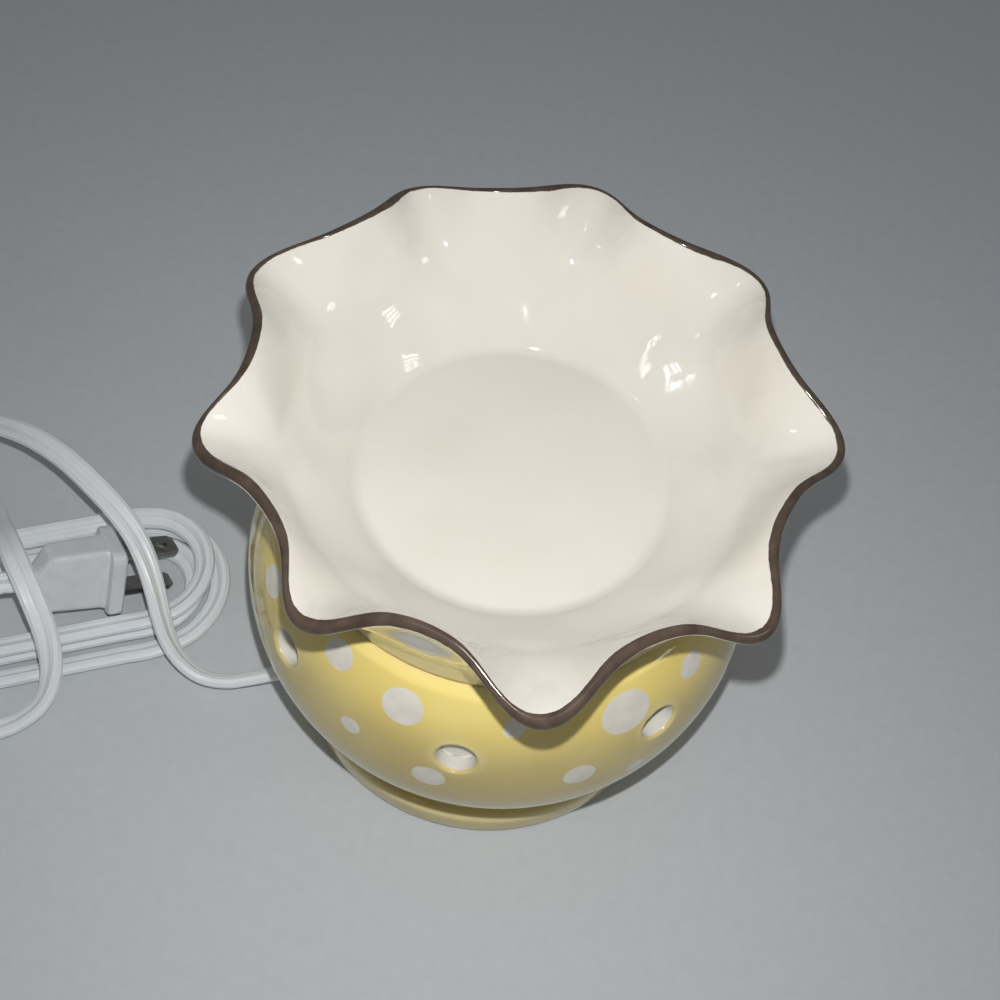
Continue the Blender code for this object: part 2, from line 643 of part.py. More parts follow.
def build_leads():
    """Two limp inner wires from the cord's end up through the nipple to the socket."""
    side_turn = CORD_TURN + math.pi / 2
    side = np.array([math.cos(side_turn), math.sin(side_turn), 0.0])
    away = np.array([math.cos(CORD_TURN), math.sin(CORD_TURN), 0.0])
    up = np.array([0.0, 0.0, 1.0])
    bend = 5.6 * MM
    for name, sign, look in (("lead_line", 1, (0.75, 0.75, 0.74)), ("lead_neutral", -1, (0.62, 0.63, 0.64))):
        shift = sign * LEAD_OFFSET * side
        path = [away * (CORD_START_R - GAP) + up * CORD_HOLE_Z, away * 36 * MM + up * CORD_HOLE_Z]
        path += [away * 26 * MM + up * LEAD_RUN_Z, away * 14 * MM + up * LEAD_RUN_Z]
        for t in np.radians(np.linspace(0, 90, 6)):
            path.append(away * bend * (1 - math.sin(t)) + up * (LEAD_RUN_Z + bend * (1 - math.cos(t))))
        path = [p + shift for p in path]
        if sign > 0:
            path += [shift + up * (NIPPLE_Z1 - 4 * MM), shift + up * (CONTACT_Z - GAP)]
        else:
            far = -5.9 * MM * side
            path.append(shift + up * (NIPPLE_Z1 - 2 * MM))
            path.append(0.85 * shift + 0.15 * far + up * (NIPPLE_Z1 + 1.2 * MM))
            path.append(0.15 * shift + 0.85 * far + up * (SHELL_Z0 - 4.2 * MM))
            path += [far + up * (SHELL_Z0 - 2.2 * MM), far + up * (SHELL_Z0 - GAP)]
        tube(name, path, LEAD_R, (look, 0.5), 1)


def hank_place(u, v, z):
    c, s = math.cos(HANK_TURN), math.sin(HANK_TURN)
    return (HANK_AT[0] + u * c - v * s, HANK_AT[1] + u * s + v * c, z)


def waist(u):
    """How far the tie has drawn the runs in at this place, 0 to 1."""
    x = (u - TIE_U) / TIE_REACH
    return math.cos(0.5 * math.pi * x) ** 2 if abs(x) < 1.0 else 0.0


def strand_point(u, v, z):
    w = waist(u)
    return hank_place(u, v - math.copysign(TIE_DRAW * w, v), z + TIE_LIFT * w)


def blend(t):
    return t * t * (3 - 2 * t)


def hank_run(side, v, z0, z1, count=11):
    """One straight run: near runs go to the right fold, far runs back to the left one."""
    left = HANK_FOLD_U - HANK_RUN
    places = np.linspace(left, HANK_FOLD_U, count)
    if side > 0:
        places = places[::-1]
    parts = np.linspace(0.0, 1.0, count)
    return [strand_point(u, side * v, z0 + (z1 - z0) * blend(t)) for u, t in zip(places, parts)]


def hank_fold(right, r0, r1, z, count=6):
    """Half turn at one end, its radius passing from r0 to r1."""
    centre = HANK_FOLD_U if right else HANK_FOLD_U - HANK_RUN
    start = -90.0 if right else 90.0
    out = []
    for k in range(1, count):
        t = k / count
        a = math.radians(start + 180.0 * t)
        r = r0 + (r1 - r0) * blend(t)
        out.append(hank_place(centre + r * math.cos(a), r * math.sin(a), z))
    return out


def hank_points():
    """Three loops and a last run in two layers: in on the lower layer, out on the upper one."""
    low, high = HANK_Z, HANK_Z + HANK_LAYER
    pts = [hank_place(HANK_FOLD_U - HANK_RUN - HANK_START, -HANK_OUT, low)]
    pts += hank_run(-1, HANK_OUT, low, low) + hank_fold(True, HANK_OUT, HANK_OUT, low)
    pts += hank_run(1, HANK_OUT, low, low) + hank_fold(False, HANK_OUT, HANK_IN, low)
    pts += hank_run(-1, HANK_IN, low, low) + hank_fold(True, HANK_IN, HANK_IN, low)
    pts += hank_run(1, HANK_IN, low, high) + hank_fold(False, HANK_IN, HANK_IN, high)
    pts += hank_run(-1, HANK_IN, high, high) + hank_fold(True, HANK_IN, HANK_OUT, high)
    pts += hank_run(1, HANK_OUT, high, high) + hank_fold(False, HANK_OUT, HANK_OUT, high)
    return pts + hank_run(-1, HANK_OUT, high, high)[:4]


def plug_matrix():
    """Plug frame: X out along the blades, Y across its thickness to the back, Z up its width."""
    turn = Matrix.Rotation(PLUG_TURN, 4, "Z") @ Matrix.Rotation(PLUG_DIP, 4, "Y")
    return Matrix.Translation(PLUG_AT) @ turn @ Matrix.Rotation(-PLUG_LEAN, 4, "X")


def plug_point(x, y=0.0, z=0.0):
    return tuple(plug_matrix() @ Vector((x, y, z)))


def tail_points():
    """From the upper near run over to the back of the plug."""
    back = -PLUG_LENGTH - RELIEF_LENGTH - GAP
    mids = [(-48.4, -17.4, 11.0), (-42.0, -15.2, 15.8), (-36.0, -11.4, 21.6), (-30.4, -7.0, 25.6)]
    mids = [hank_place(u * MM, v * MM, z * MM) for u, v, z in mids]
    return mids + [plug_point(back - 2.2 * CORD_R), plug_point(back)]


def lead_route():
    """Cord centre line from the foot, over the hank's folds, round twice and into the hank."""
    start = [polar(r * MM, CORD_TURN, CORD_HOLE_Z) for r in (CORD_START_R / MM, 48.0, 56.0)]
    out = [(-64.0, -20.8, 5.9), (-70.6, -22.6, 5.4), (-77.6, -22.6, 6.0), (-83.6, -20.2, 9.0),
           (-87.6, -16.5, 13.8), (-90.0, -12.2, 18.8), (-92.4, -6.8, 23.6), (-95.7, -0.7, 28.0),
           (-100.0, 5.0, 31.4), (-106.2, 10.8, 34.0), (-114.4, 17.0, 35.4), (-124.8, 24.2, 35.4),
           (-136.6, 30.7, 33.4), (-149.0, 35.8, 29.2)]
    far = [(-163.0, 40.4, 22.4), (-178.0, 44.0, 13.8), (-193.0, 44.6, 6.6), (-208.0, 39.4, 3.0),
           (-222.0, 29.0, 2.7), (-233.0, 12.0, 2.7), (-238, -10, 2.7), (-234, -32, 2.7), (-224, -51, 2.7),
           (-206, -65, 2.7), (-181, -70, 2.7), (-155, -61, 2.7), (-136, -48.6, 2.7)]
    bight = [(-124.5, -42.6, 3.2), (-118.4, -37.1, 6.4), (-116.4, -30.4, 12.5), (-117.6, -23.9, 20.6),
             (-121.3, -17.5, 28.4), (-127.2, -9.6, 31.6), (-134.0, -1.1, 29.0), (-141.6, 8.0, 21.0),
             (-150.2, 18.2, 12.0)]
    inner = [(-160.4, 26.4, 5.6), (-174.0, 30.0, 2.7), (-190.0, 26.0, 2.7), (-204.0, 14.0, 2.7)]
    route = start + [tuple(c * MM for c in p) for p in out + far + bight + inner]
    left = HANK_FOLD_U - HANK_RUN
    end = left - HANK_START
    around = [(left - 28.5 * MM, 8 * MM), (left - 23.5 * MM, -11.5 * MM), (end - 5 * MM, -HANK_OUT)]
    return route + [hank_place(u, v, HANK_Z) for u, v in around + [(end - GAP, -HANK_OUT)]]


def least_gap(line, diameter):
    """Smallest clear distance between far-apart places along one cord."""
    fine = even_steps(np.array(line), 1.5 * MM)
    skip = 14
    best = 1.0
    for i in range(0, len(fine) - skip):
        best = min(best, float(np.linalg.norm(fine[i + skip:] - fine[i], axis=1).min()))
    return best - diameter


def build_cord():
    look = ((0.82, 0.84, 0.84), 0.45)
    route = lead_route()
    loose = smooth_route(route, ROUTE_STEP)
    loose = loose[np.linalg.norm(loose[:, :2], axis=1) > FOOT_R + 2 * CORD_R + ROUTE_STEP / 3]
    lead = np.vstack([route[:3], loose[:-1], route[-2:]])
    hank = hank_points()
    tail = smooth_route(hank[-2:] + tail_points(), HANK_RUN / 20)
    hank += [tuple(p) for p in tail[3:]]
    tube("cord_lead", lead, CORD_R, look, 2)
    tube("cord_hank", hank, CORD_R, look, 1)
    whole = [tuple(p) for p in lead] + [tuple(p) for p in hank]
    length = np.linalg.norm(np.diff(np.array(whole), axis=0), axis=1).sum()
    print("cord length %.3f m" % length)
    print("least gap in the hank %.2f mm" % (least_gap(hank, 2 * CORD_R) / MM))
    print("least gap along the whole cord %.2f mm" % (least_gap(whole, 2 * CORD_R) / MM))


def rounded_rect(half_w, half_h, corner, count=4):
    """Corner-rounded rectangle, counter-clockwise, as (a, b) pairs."""
    out = []
    for k, (sx, sy) in enumerate(((1, 1), (-1, 1), (-1, -1), (1, -1))):
        for t in np.linspace(0, 90, count):
            a = math.radians(90 * k + t)
            across = sx * (half_w - corner) + corner * math.cos(a)
            out.append((across, sy * (half_h - corner) + corner * math.sin(a)))
    return out


def build_tie():
    """Flat band once round the hank's waist."""
    half_v = HANK_OUT - TIE_DRAW + CORD_R + TIE_SLACK + TIE_T / 2
    low = GAP + TIE_T / 2
    high = HANK_Z + HANK_LAYER + TIE_LIFT + CORD_R + GAP + TIE_T / 2
    mid, half_h = (low + high) / 2, (high - low) / 2
    rings = []
    for grow, along in ((0.5, -0.5), (0.5, 0.5), (-0.5, 0.5), (-0.5, -0.5)):
        section = rounded_rect(half_v + grow * TIE_T, half_h + grow * TIE_T, 3 * MM + grow * TIE_T)
        rings.append([hank_place(TIE_U + along * TIE_W, v, mid + z) for v, z in section])
    sweep_rings("hank_tie", rings, ((0.75, 0.76, 0.76), 0.5), closed=True)


def build_plug():
    back = -PLUG_LENGTH
    wide, corner = PLUG_FLANGE, PLUG_FLANGE_CORNER
    sections = [(back - RELIEF_LENGTH, RELIEF_R - 0.3 * MM, RELIEF_R - 0.3 * MM, 2.6 * MM),
                (back - PLUG_SHOULDER, RELIEF_R + 0.3 * MM, RELIEF_R + 0.8 * MM, 2.4 * MM),
                (back, PLUG_BODY[0] - 0.8 * MM, PLUG_BODY[1] - 1.6 * MM, 1.8 * MM),
                (back + 1 * MM, PLUG_BODY[0] - 0.2 * MM, PLUG_BODY[1] - 0.8 * MM, 1.6 * MM),
                (-PLUG_FLANGE_T - 1.2 * MM, *PLUG_BODY, PLUG_CORNER),
                (-PLUG_FLANGE_T, PLUG_BODY[0] + 0.5 * MM, PLUG_BODY[1] + 0.1 * MM, PLUG_CORNER),
                (-PLUG_FLANGE_T, wide[0] - 0.5 * MM, wide[1] - 0.3 * MM, corner - 0.2 * MM),
                (-PLUG_FLANGE_T + 0.6 * MM, *wide, corner),
                (-0.6 * MM, *wide, corner),
                (0.0, wide[0] - 0.6 * MM, wide[1] - 0.6 * MM, corner - 0.4 * MM)]
    rings = []
    for x, half_y, half_z, corner in sections:
        rings.append([(x, y, z) for y, z in rounded_rect(half_y, half_z, corner)])
    plug = sweep_rings("plug_body", rings, ((0.74, 0.75, 0.76), 0.4), smooth=False)
    for side, width in ((1, BLADE_WIDE), (-1, BLADE_NARROW)):
        slot = blade_block("slot", width + 2 * GAP, BLADE_T + 2 * GAP, -BLADE_IN - GAP, 1 * MM, None)
        slot.location = (0, 0, side * BLADE_GAP / 2)
        cut(plug, slot)
    plug.data.transform(plug_matrix())
    brass = ((0.62, 0.58, 0.48), 0.3, 1.0)
    for name, side, width in (("plug_blade_neutral", 1, BLADE_WIDE), ("plug_blade_line", -1, BLADE_NARROW)):
        build_blade(name, side, width, brass)


def blade_block(name, width, thick, x0, x1, look):
    w, t = width / 2, thick / 2
    rings = [[(x, -w, -t), (x, w, -t), (x, w, t), (x, -w, t)] for x in (x0, x1)]
    return sweep_rings(name, rings, look, smooth=False)


def build_blade(name, side, width, look):
    w, t = width / 2, BLADE_T / 2
    stations = ((-BLADE_IN, 1.0, 1.0), (BLADE_OUT - 1.5 * MM, 1.0, 1.0), (BLADE_OUT, 0.72, 0.5))
    rings = [[(x, -w * a, -t * b), (x, w * a, -t * b), (x, w * a, t * b), (x, -w * a, t * b)]
             for x, a, b in stations]
    blade = sweep_rings(name, rings, look, smooth=False)
    drill = cylinder("drill", BLADE_HOLE_R, 6 * MM, segments=14)
    drill.location = (BLADE_OUT - 4.2 * MM, 0, -3 * MM)
    cut(blade, drill)
    blade.data.transform(plug_matrix() @ Matrix.Translation((0, 0, side * BLADE_GAP / 2)))


def main():
    clear_scene()
    build_body()
    build_pads()
    build_dish()
    build_socket()
    build_bulb()
    build_bushing()
    build_leads()
    build_cord()
    build_tie()
    build_plug()


main()
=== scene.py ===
"""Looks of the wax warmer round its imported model: glazes, dots, cord, plug, floor and light."""

import itertools
import math
import random

import bpy
import numpy as np
from mathutils import Matrix, Vector


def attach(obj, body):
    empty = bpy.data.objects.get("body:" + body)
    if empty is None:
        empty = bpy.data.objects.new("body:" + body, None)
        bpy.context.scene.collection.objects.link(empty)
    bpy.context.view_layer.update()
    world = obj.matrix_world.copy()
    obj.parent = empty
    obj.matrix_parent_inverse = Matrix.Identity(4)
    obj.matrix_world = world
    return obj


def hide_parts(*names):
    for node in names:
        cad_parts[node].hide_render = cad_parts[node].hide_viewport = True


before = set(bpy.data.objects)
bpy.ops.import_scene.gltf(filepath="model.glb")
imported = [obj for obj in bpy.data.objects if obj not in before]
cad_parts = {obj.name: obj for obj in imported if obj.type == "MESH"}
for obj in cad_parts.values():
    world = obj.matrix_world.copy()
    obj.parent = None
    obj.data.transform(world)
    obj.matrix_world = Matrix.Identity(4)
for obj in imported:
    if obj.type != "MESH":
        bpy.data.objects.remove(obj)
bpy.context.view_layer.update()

# Shapes are written in millimetres and scaled when a mesh is made.
MM = 0.001

# Camera
EYE = (-0.00207, -0.14423, 0.31144)
EYE_PITCH = math.radians(57.5635)
EYE_ROLL = math.radians(8.2832)
EYE_LENS = 41.4
SENSOR = 36.0

# Globe body
FOOT_Z = 1.6
FOOT_R = 53.3
FOOT_IN_R = 44.0
FOOT_TOP_Z = 9.0
FOOT_ROUND = 2.4
FOOT_EDGE = 1.4
FOOT_IN_EDGE = 0.6
FOOT_UNDER_R = (FOOT_IN_R + 4.0, FOOT_R - 3.0)
FOOT_SIDE_Z = (5.0, 7.0)
DIP_LEAVE = (-3.2, 0.4)
DIP_ARRIVE = (0.35, 3.2)
NECK_R = 47.2
NECK_Z = 13.5
BULGE_R = 62.3
BULGE_Z = 58.3
BULGE_H = 56.4
BULGE_LOW_Z = 36.0
WALL_LEAVE = (0.09, 0.53)
WALL_ARRIVE = 1.33
WALL = 4.6
EDGE = 1.5
FLOOR_Z = 17.0
FLOOR_T = 5.0
FLOOR_ROWS_R = (32.0, 22.0, 13.0, 8.0)
FLOOR_UNDER_R = (9.0, 18.0, 30.0)
CHAMBER_Z = FLOOR_Z + FLOOR_T
CHAMBER_FLOOR_R = 40.5
RECESS_R = 40.0
RECESS_EASE = (0.8, 0.4)
RECESS_FLARE = 0.6
SEAT_Z = 90.0
SEAT_R = 50.4
SEAT_EDGE = 1.0
MOUTH_R = 45.0
MOUTH_DEPTH = 7.0
MOUTH_EDGE = 0.8
MOUTH_ROW = 4.0
NIPPLE_HOLE_R = 5.05
GLOW_COUNT = 8
GLOW_Z = 73.4
GLOW_TURN = math.radians(-93.3)
GLOW_R = 4.4
GLOW_LIP = 1.1
GLOW_IN_LIP = 0.3
GLOW_SAG = 0.12
GLOW_IN_SAG = 0.1
HOLE_CELLS = 12
HOLE_HALF = HOLE_CELLS // 2
HOLE_EASE = 8
HOLE_COLUMNS = 36
BODY_COLUMNS = HOLE_COLUMNS * GLOW_COUNT
ROW_GAP = 0.35

# Dish
LOBES = 9
LOBE_STEP = 360.0 / LOBES
DISH_REST_R = 49.8
DISH_SPIGOT_R = 44.4
DISH_SPIGOT_T = 3.6
DISH_SPIGOT_Z = 86.0
DISH_REST_Z = 90.3
DISH_UNDER_R = (8.0, 20.0, 32.0)
SPIGOT_EDGE = 0.6
REST_FILLET = 0.4
REST_EDGE = 0.8
# The seam line at the dish's foot is partly its bare edge and partly painted shade in the crevice over
# the globe.
SEAM_IN = 1.0
SEAM_H = 1.6
# Height up to which a painted reflection of the yellow globe tints the dish's outside.
PAINTED_REFLECTION_TOP_Z = 104.0
DISH_UNDER_Z = 93.0
DISH_FLOOR_Z = 96.4
DISH_FLOOR_R = 33.6
DISH_FLOOR_ROUND = 4.0
DISH_FLOOR_ROWS_R = (27.0, 20.0, 12.0, 5.0)
BOWL_RISE = 46.0
SHOULDER_R = 49.4
SHOULDER_Z = 110.5
SHOULDER_T = 5.0
BRIM_T = (2.3, 3.6)
RIM_LEAD = (0.55, 0.8)
RIM_LAG = math.radians(5.0)
WALL_OUT_R = 51.6
WALL_OUT_AT = ((0.2, 0.3), (0.85, 0.6))
TIP_R = 66.1
TIP_Z = 122.1
TIP_OUT = (-0.5, -0.2, 0.8, -0.3, 0.8, -0.8, -1.7, 1.6, 0.0)
TIP_TURNS = (1.2, 2.7, 1.7, -1.4, -4.2, -3.4, -3.0, -1.1, -0.8)
NOTCH_R = 56.4
NOTCH_Z = 126.3
NOTCH_OUT = (-0.6, -0.1, 1.2, 1.6, -0.8, -0.3, -0.8, 0.9, -0.8)
NOTCH_TURNS = (2.5, 3.3, 0.6, -5.6, -1.2, -0.6, -3.4, 0.0, -1.8)
TIP_SHARP = 0.195
SHOULDER_RISE = (60.0, 42.0)
RIM_RISE = (58.0, 22.0)
SHOULDER_DIP = (0.16, 0.38)
SHOULDER_DIP_REACH = 3.0
CREASE_DIP = 0.35
CREASE_SPAN = 3.2
BRIM_ROWS = 34
WALL_ROWS = 18
WALL_STEP = 0.5
WALL_INTO_BRIM = 4
LOBE_COLUMNS = 36
DISH_COLUMNS = LOBE_COLUMNS * LOBES

# Cord
CORD_TURN = math.radians(198.0)
CORD_HOLE_Z = 7.2
CORD_HOLE_R = 4.0
CORD_START_R = (40.0, 48.0, 56.0)
CORD_LOBE_R = 1.7
CORD_LOBE_AT = 1.65
CORD_RIBS = 9
CORD_RIB = 0.16
CORD_GROOVE = 0.95
CORD_LOBE_SPAN = 125.0
CORD_STEP = 2.0
CORD_TIPPED = math.radians(30.0)
CORD_RIDING = math.radians(8.0)
CORD_RIDE_Z = (10.0, 18.0)
CORD_EDGEWAYS = math.radians(-58.0)
CORD_EDGEWAYS_REACH = (58.0, 110.0)
CORD_WANDER = ((math.radians(4.0), 37.0, 0.0), (math.radians(3.0), 17.0, 1.0))
CORD_ROLL_SPAN = 9
HANK_AT = (-112.4, -0.1)
HANK_TURN = math.radians(22.0)
HANK_FOLD_U = 12.0
HANK_RUN = 96.0
HANK_IN = 13.5
HANK_OUT = 20.7
HANK_LOW = 2.7
HANK_HIGH = 8.05
HANK_START = 4.8
TIE_U = HANK_FOLD_U - 0.8 * HANK_RUN
TIE_REACH = 19.0
TIE_DRAW = 5.0
TIE_LIFT = 1.8
PLUG_AT = (-108.1, 2.85, 13.8)
PLUG_TURN = math.radians(31.5)
PLUG_DIP = math.radians(22.0)
PLUG_LEAN = math.radians(19.0)
PLUG_BACK = -27.3
PLUG_RELIEF = 5.3

# Glaze colours; a pair holds the two tones that a grain mixes
# The lower and the upper yellow are shaded and lit copies of one glaze: painted shade low on the globe,
# painted light at its top.
YELLOW_LOW_PAINTED_SHADE = ((0.578, 0.449, 0.149), (0.664, 0.546, 0.213))
YELLOW_HIGH_PAINTED_LIGHT = ((0.840, 0.655, 0.190), (0.910, 0.750, 0.265))
YELLOW_THIN = (0.90, 0.80, 0.46)
YELLOW_SPECK = (0.40, 0.27, 0.09)
# Heights over which the painted light blends from the darker lower yellow to the lighter upper yellow.
YELLOW_PAINTED_LIGHT_Z = (70.0, 87.0)
DOT_WHITE = ((0.73, 0.685, 0.595), (0.82, 0.775, 0.68))
CLAY = ((0.66, 0.635, 0.57), (0.71, 0.69, 0.63))
CREAM = ((0.740, 0.697, 0.612), (0.788, 0.752, 0.684))
CREAM_SPECK = (0.45, 0.36, 0.26)
# Yellow painted low on the dish's outside as a reflection of the globe.
CREAM_PAINTED_REFLECTION = (0.82, 0.62, 0.15)
# Brown of the bare foot edge, darkened as painted shade in the crevice where the dish sits on the globe.
SEAM_BROWN_AND_SHADE = (0.15, 0.095, 0.030)
RIM_BROWN = ((0.050, 0.035, 0.026), (0.108, 0.078, 0.056))
RIM_PAINT_IN = (-1.10, -1.0)
RIM_PAINT_OUT = (0.66, 0.78)


def set_camera():
    data = bpy.data.cameras.new("camera")
    data.lens = EYE_LENS
    data.sensor_width = SENSOR
    data.clip_start = 0.01
    obj = bpy.data.objects.new("camera", data)
    bpy.context.scene.collection.objects.link(obj)
    tilt = Matrix.Rotation(math.pi / 2 - EYE_PITCH, 4, "X") @ Matrix.Rotation(EYE_ROLL, 4, "Z")
    obj.matrix_world = Matrix.Translation(EYE) @ tilt
    bpy.context.scene.camera = obj


def make_piece(name, verts, faces, look=None, body="base"):
    """A smooth-shaded mesh from points in millimetres, riding on one body."""
    mesh = bpy.data.meshes.new(name)
    mesh.from_pydata((np.asarray(verts, float) * MM).tolist(), [], faces)
    mesh.polygons.foreach_set("use_smooth", [True] * len(mesh.polygons))
    mesh.update()
    obj = bpy.data.objects.new(name, mesh)
    bpy.context.scene.collection.objects.link(obj)
    if look is not None:
        mesh.materials.append(look)
    if body:
        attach(obj, body)
    return obj


def store(obj, name, values):
    """Keep one number per vertex for the materials to read."""
    layer = obj.data.attributes.new(name, "FLOAT", "POINT")
    layer.data.foreach_set("value", np.asarray(values, np.float32).ravel())


# Material nodes


def new_material(name, **settings):
    """A Principled material with constants set on the shader's own sockets."""
    mat = bpy.data.materials.new(name)
    mat.use_nodes = True
    shader = mat.node_tree.nodes["Principled BSDF"]
    for key, value in settings.items():
        shader.inputs[key.replace("_", " ")].default_value = value
    return mat, mat.node_tree, shader


def put(tree, value, socket):
    if isinstance(value, bpy.types.NodeSocket):
        tree.links.new(value, socket)
    else:
        socket.default_value = value


def node(tree, kind, inputs, **settings):
    made = tree.nodes.new("ShaderNode" + kind)
    for key, value in settings.items():
        setattr(made, key, value)
    for key, value in inputs.items():
        put(tree, value, made.inputs[key])
    return made


def noise(tree, scale, detail=3.0, stretch=None):
    """Noise in the object's own space, with about `scale` features to the metre."""
    place = node(tree, "TexCoord", {}).outputs["Object"]
    if stretch is not None:
        place = node(tree, "Mapping", {"Vector": place, "Scale": stretch}).outputs["Vector"]
    made = node(tree, "TexNoise", {"Vector": place, "Scale": scale, "Detail": detail})
    return made.outputs["Fac"]


def attribute(tree, name):
    return node(tree, "Attribute", {}, attribute_name=name).outputs["Fac"]


def spread(tree, value, low, high, to_low=0.0, to_high=1.0, soft=False):
    """Map low..high to to_low..to_high, clamped, eased when soft."""
    kind = "SMOOTHSTEP" if soft else "LINEAR"
    inputs = {"Value": value, "From Min": low, "From Max": high, "To Min": to_low, "To Max": to_high}
    return node(tree, "MapRange", inputs, interpolation_type=kind).outputs["Result"]


def math_node(tree, operation, a, b):
    return node(tree, "Math", {0: a, 1: b}, operation=operation).outputs[0]


def mix(tree, share, a, b):
    made = node(tree, "Mix", {0: share, 6: a, 7: b}, data_type="RGBA")
    return made.outputs[2]


def bump(tree, height, strength, distance, before=None):
    inputs = {"Height": height, "Strength": strength, "Distance": distance * MM}
    if before is not None:
        inputs["Normal"] = before
    return node(tree, "Bump", inputs).outputs["Normal"]


def rgb(r, g, b):
    return (r, g, b, 1.0)


def speckle(tree, scale, size):
    """Sparse small spots: 1 inside a spot, 0 outside."""
    place = node(tree, "TexCoord", {}).outputs["Object"]
    cells = node(tree, "TexVoronoi", {"Vector": place, "Scale": scale}, feature="F1")
    return spread(tree, cells.outputs["Distance"], size * 0.6, size, 1.0, 0.0, soft=True)


def tones(tree, pair, scale, detail=4.0, low=0.3, high=0.7):
    """Two close tones mixed by noise."""
    share = spread(tree, noise(tree, scale, detail), low, high)
    return mix(tree, share, rgb(*pair[0]), rgb(*pair[1]))


def tinted(tree, colour, mark, strength, tint):
    """A colour drawn towards a tint where a mark is set."""
    return mix(tree, math_node(tree, "MULTIPLY", mark, strength), colour, rgb(*tint))


def wander(tree, scale, detail, swing):
    """Noise that swings evenly to both sides of nothing."""
    return spread(tree, noise(tree, scale, detail), 0.25, 0.75, -swing, swing)


def glaze_surface(tree, shader, ripple, other, other_roughness):
    """Gloss of a fired glaze: slow ripples, a fine orange peel and uneven polish.

    It turns to the other finish's roughness where that one shows."""
    slow = bump(tree, noise(tree, 75.0, 2.0), ripple, 0.9)
    fine = bump(tree, noise(tree, 900.0, 2.0), 0.03, 0.05, before=slow)
    put(tree, fine, shader.inputs["Normal"])
    polish = spread(tree, noise(tree, 45.0), 0.3, 0.7, 0.02, 0.06)
    put(tree, spread(tree, other, 0.0, 1.0, polish, other_roughness), shader.inputs["Roughness"])


def yellow_glaze(tree):
    """Yellow glaze with painted light: darker low on the globe, lighter towards the top; paler on the
    lips, with a few specks.
    """
    place = node(tree, "TexCoord", {}).outputs["Object"]
    height = node(tree, "SeparateXYZ", {"Vector": place}).outputs["Z"]
    # Painted light: the yellow turns lighter upwards between these heights, standing in for light from
    # above.
    fade = spread(tree, height, YELLOW_PAINTED_LIGHT_Z[0] * MM, YELLOW_PAINTED_LIGHT_Z[1] * MM, soft=True)
    low = tones(tree, YELLOW_LOW_PAINTED_SHADE, 38.0, low=0.32, high=0.68)
    high = tones(tree, YELLOW_HIGH_PAINTED_LIGHT, 38.0, low=0.32, high=0.68)
    yellow = tinted(tree, mix(tree, fade, low, high), attribute(tree, "lip"), 0.75, YELLOW_THIN)
    return tinted(tree, yellow, speckle(tree, 95.0, 0.035), 0.5, YELLOW_SPECK)


def body_glaze():
    """Yellow glaze with white dots, and bare white clay in the light holes and inside."""
    mat, tree, shader = new_material("body_glaze_look", Coat_Roughness=0.04)
    edge = math_node(tree, "ADD", attribute(tree, "dot_distance"), wander(tree, 170.0, 2.0, 0.09))
    dot = spread(tree, edge, -0.18, 0.18, 1.0, 0.0, soft=True)
    white = tones(tree, DOT_WHITE, 260.0, 3.0, 0.35)
    colour = mix(tree, dot, yellow_glaze(tree), white)
    bare = spread(tree, attribute(tree, "bore_depth"), 0.5, 1.1, soft=True)
    put(tree, mix(tree, bare, colour, tones(tree, CLAY, 300.0)), shader.inputs["Base Color"])
    glaze_surface(tree, shader, 0.10, bare, 0.85)
    put(tree, spread(tree, bare, 0.0, 1.0, 0.12, 0.0), shader.inputs["Coat Weight"])
    put(tree, spread(tree, bare, 0.0, 1.0, 0.5, 0.15), shader.inputs["Specular IOR Level"])
    return mat


def rim_paint(tree):
    """1 where the brush left brown over the rim, with uneven edges."""
    uneven = math_node(tree, "ADD", wander(tree, 60.0, 2.0, 0.14), wander(tree, 520.0, 3.0, 0.05))
    place = math_node(tree, "ADD", attribute(tree, "rim_place"), uneven)
    inner = spread(tree, place, *RIM_PAINT_IN, soft=True)
    outer = spread(tree, place, *RIM_PAINT_OUT, 1.0, 0.0, soft=True)
    return math_node(tree, "MULTIPLY", inner, outer)


def dish_glaze():
    """Cream glaze with a painted yellow reflection low outside, a seam line of bare edge and painted
    shade, and a brush-painted brown rim line.
    """
    mat, tree, shader = new_material("dish_glaze_look", Coat_Roughness=0.03)
    cream = tinted(tree, tones(tree, CREAM, 30.0), speckle(tree, 70.0, 0.022), 0.35, CREAM_SPECK)
    # Painted reflection: the globe's yellow tints the dish's outside, strongest at the seat and fading
    # upwards.
    cream = tinted(tree, cream, attribute(tree, "painted_reflection"), 0.55, CREAM_PAINTED_REFLECTION)
    # A dark line at the dish's foot: its bare edge plus painted shade in the crevice between dish and
    # globe.
    cream = tinted(tree, cream, attribute(tree, "seam_and_shade"), 0.85, SEAM_BROWN_AND_SHADE)
    painted = rim_paint(tree)
    brown = tones(tree, RIM_BROWN, 240.0, high=0.75)
    put(tree, mix(tree, painted, cream, brown), shader.inputs["Base Color"])
    glaze_surface(tree, shader, 0.22, painted, 0.12)
    put(tree, spread(tree, painted, 0.0, 1.0, 0.35, 0.0), shader.inputs["Coat Weight"])
    return mat


def plain_look(name, low, high, roughness, grain, relief=0.04, stretch=None, **settings):
    """Two close tones mixed by grain, with roughness and a fine relief from the same grain."""
    mat, tree, shader = new_material(name, **settings)
    grains = noise(tree, grain, 4.0, stretch)
    share = spread(tree, grains, 0.3, 0.7)
    put(tree, mix(tree, share, rgb(*low), rgb(*high)), shader.inputs["Base Color"])
    put(tree, spread(tree, grains, 0.25, 0.75, *roughness), shader.inputs["Roughness"])
    put(tree, bump(tree, grains, 0.35, relief), shader.inputs["Normal"])
    return mat


METAL = {"Metallic": 1.0}
WIRE = {"relief": 0.02, "stretch": (1.0, 1.0, 0.08), **METAL}
BLADE = {"relief": 0.02, "stretch": (0.12, 1.0, 1.0), **METAL}
CLEAR = {"relief": 0.02, "Transmission_Weight": 1.0, "IOR": 1.45}

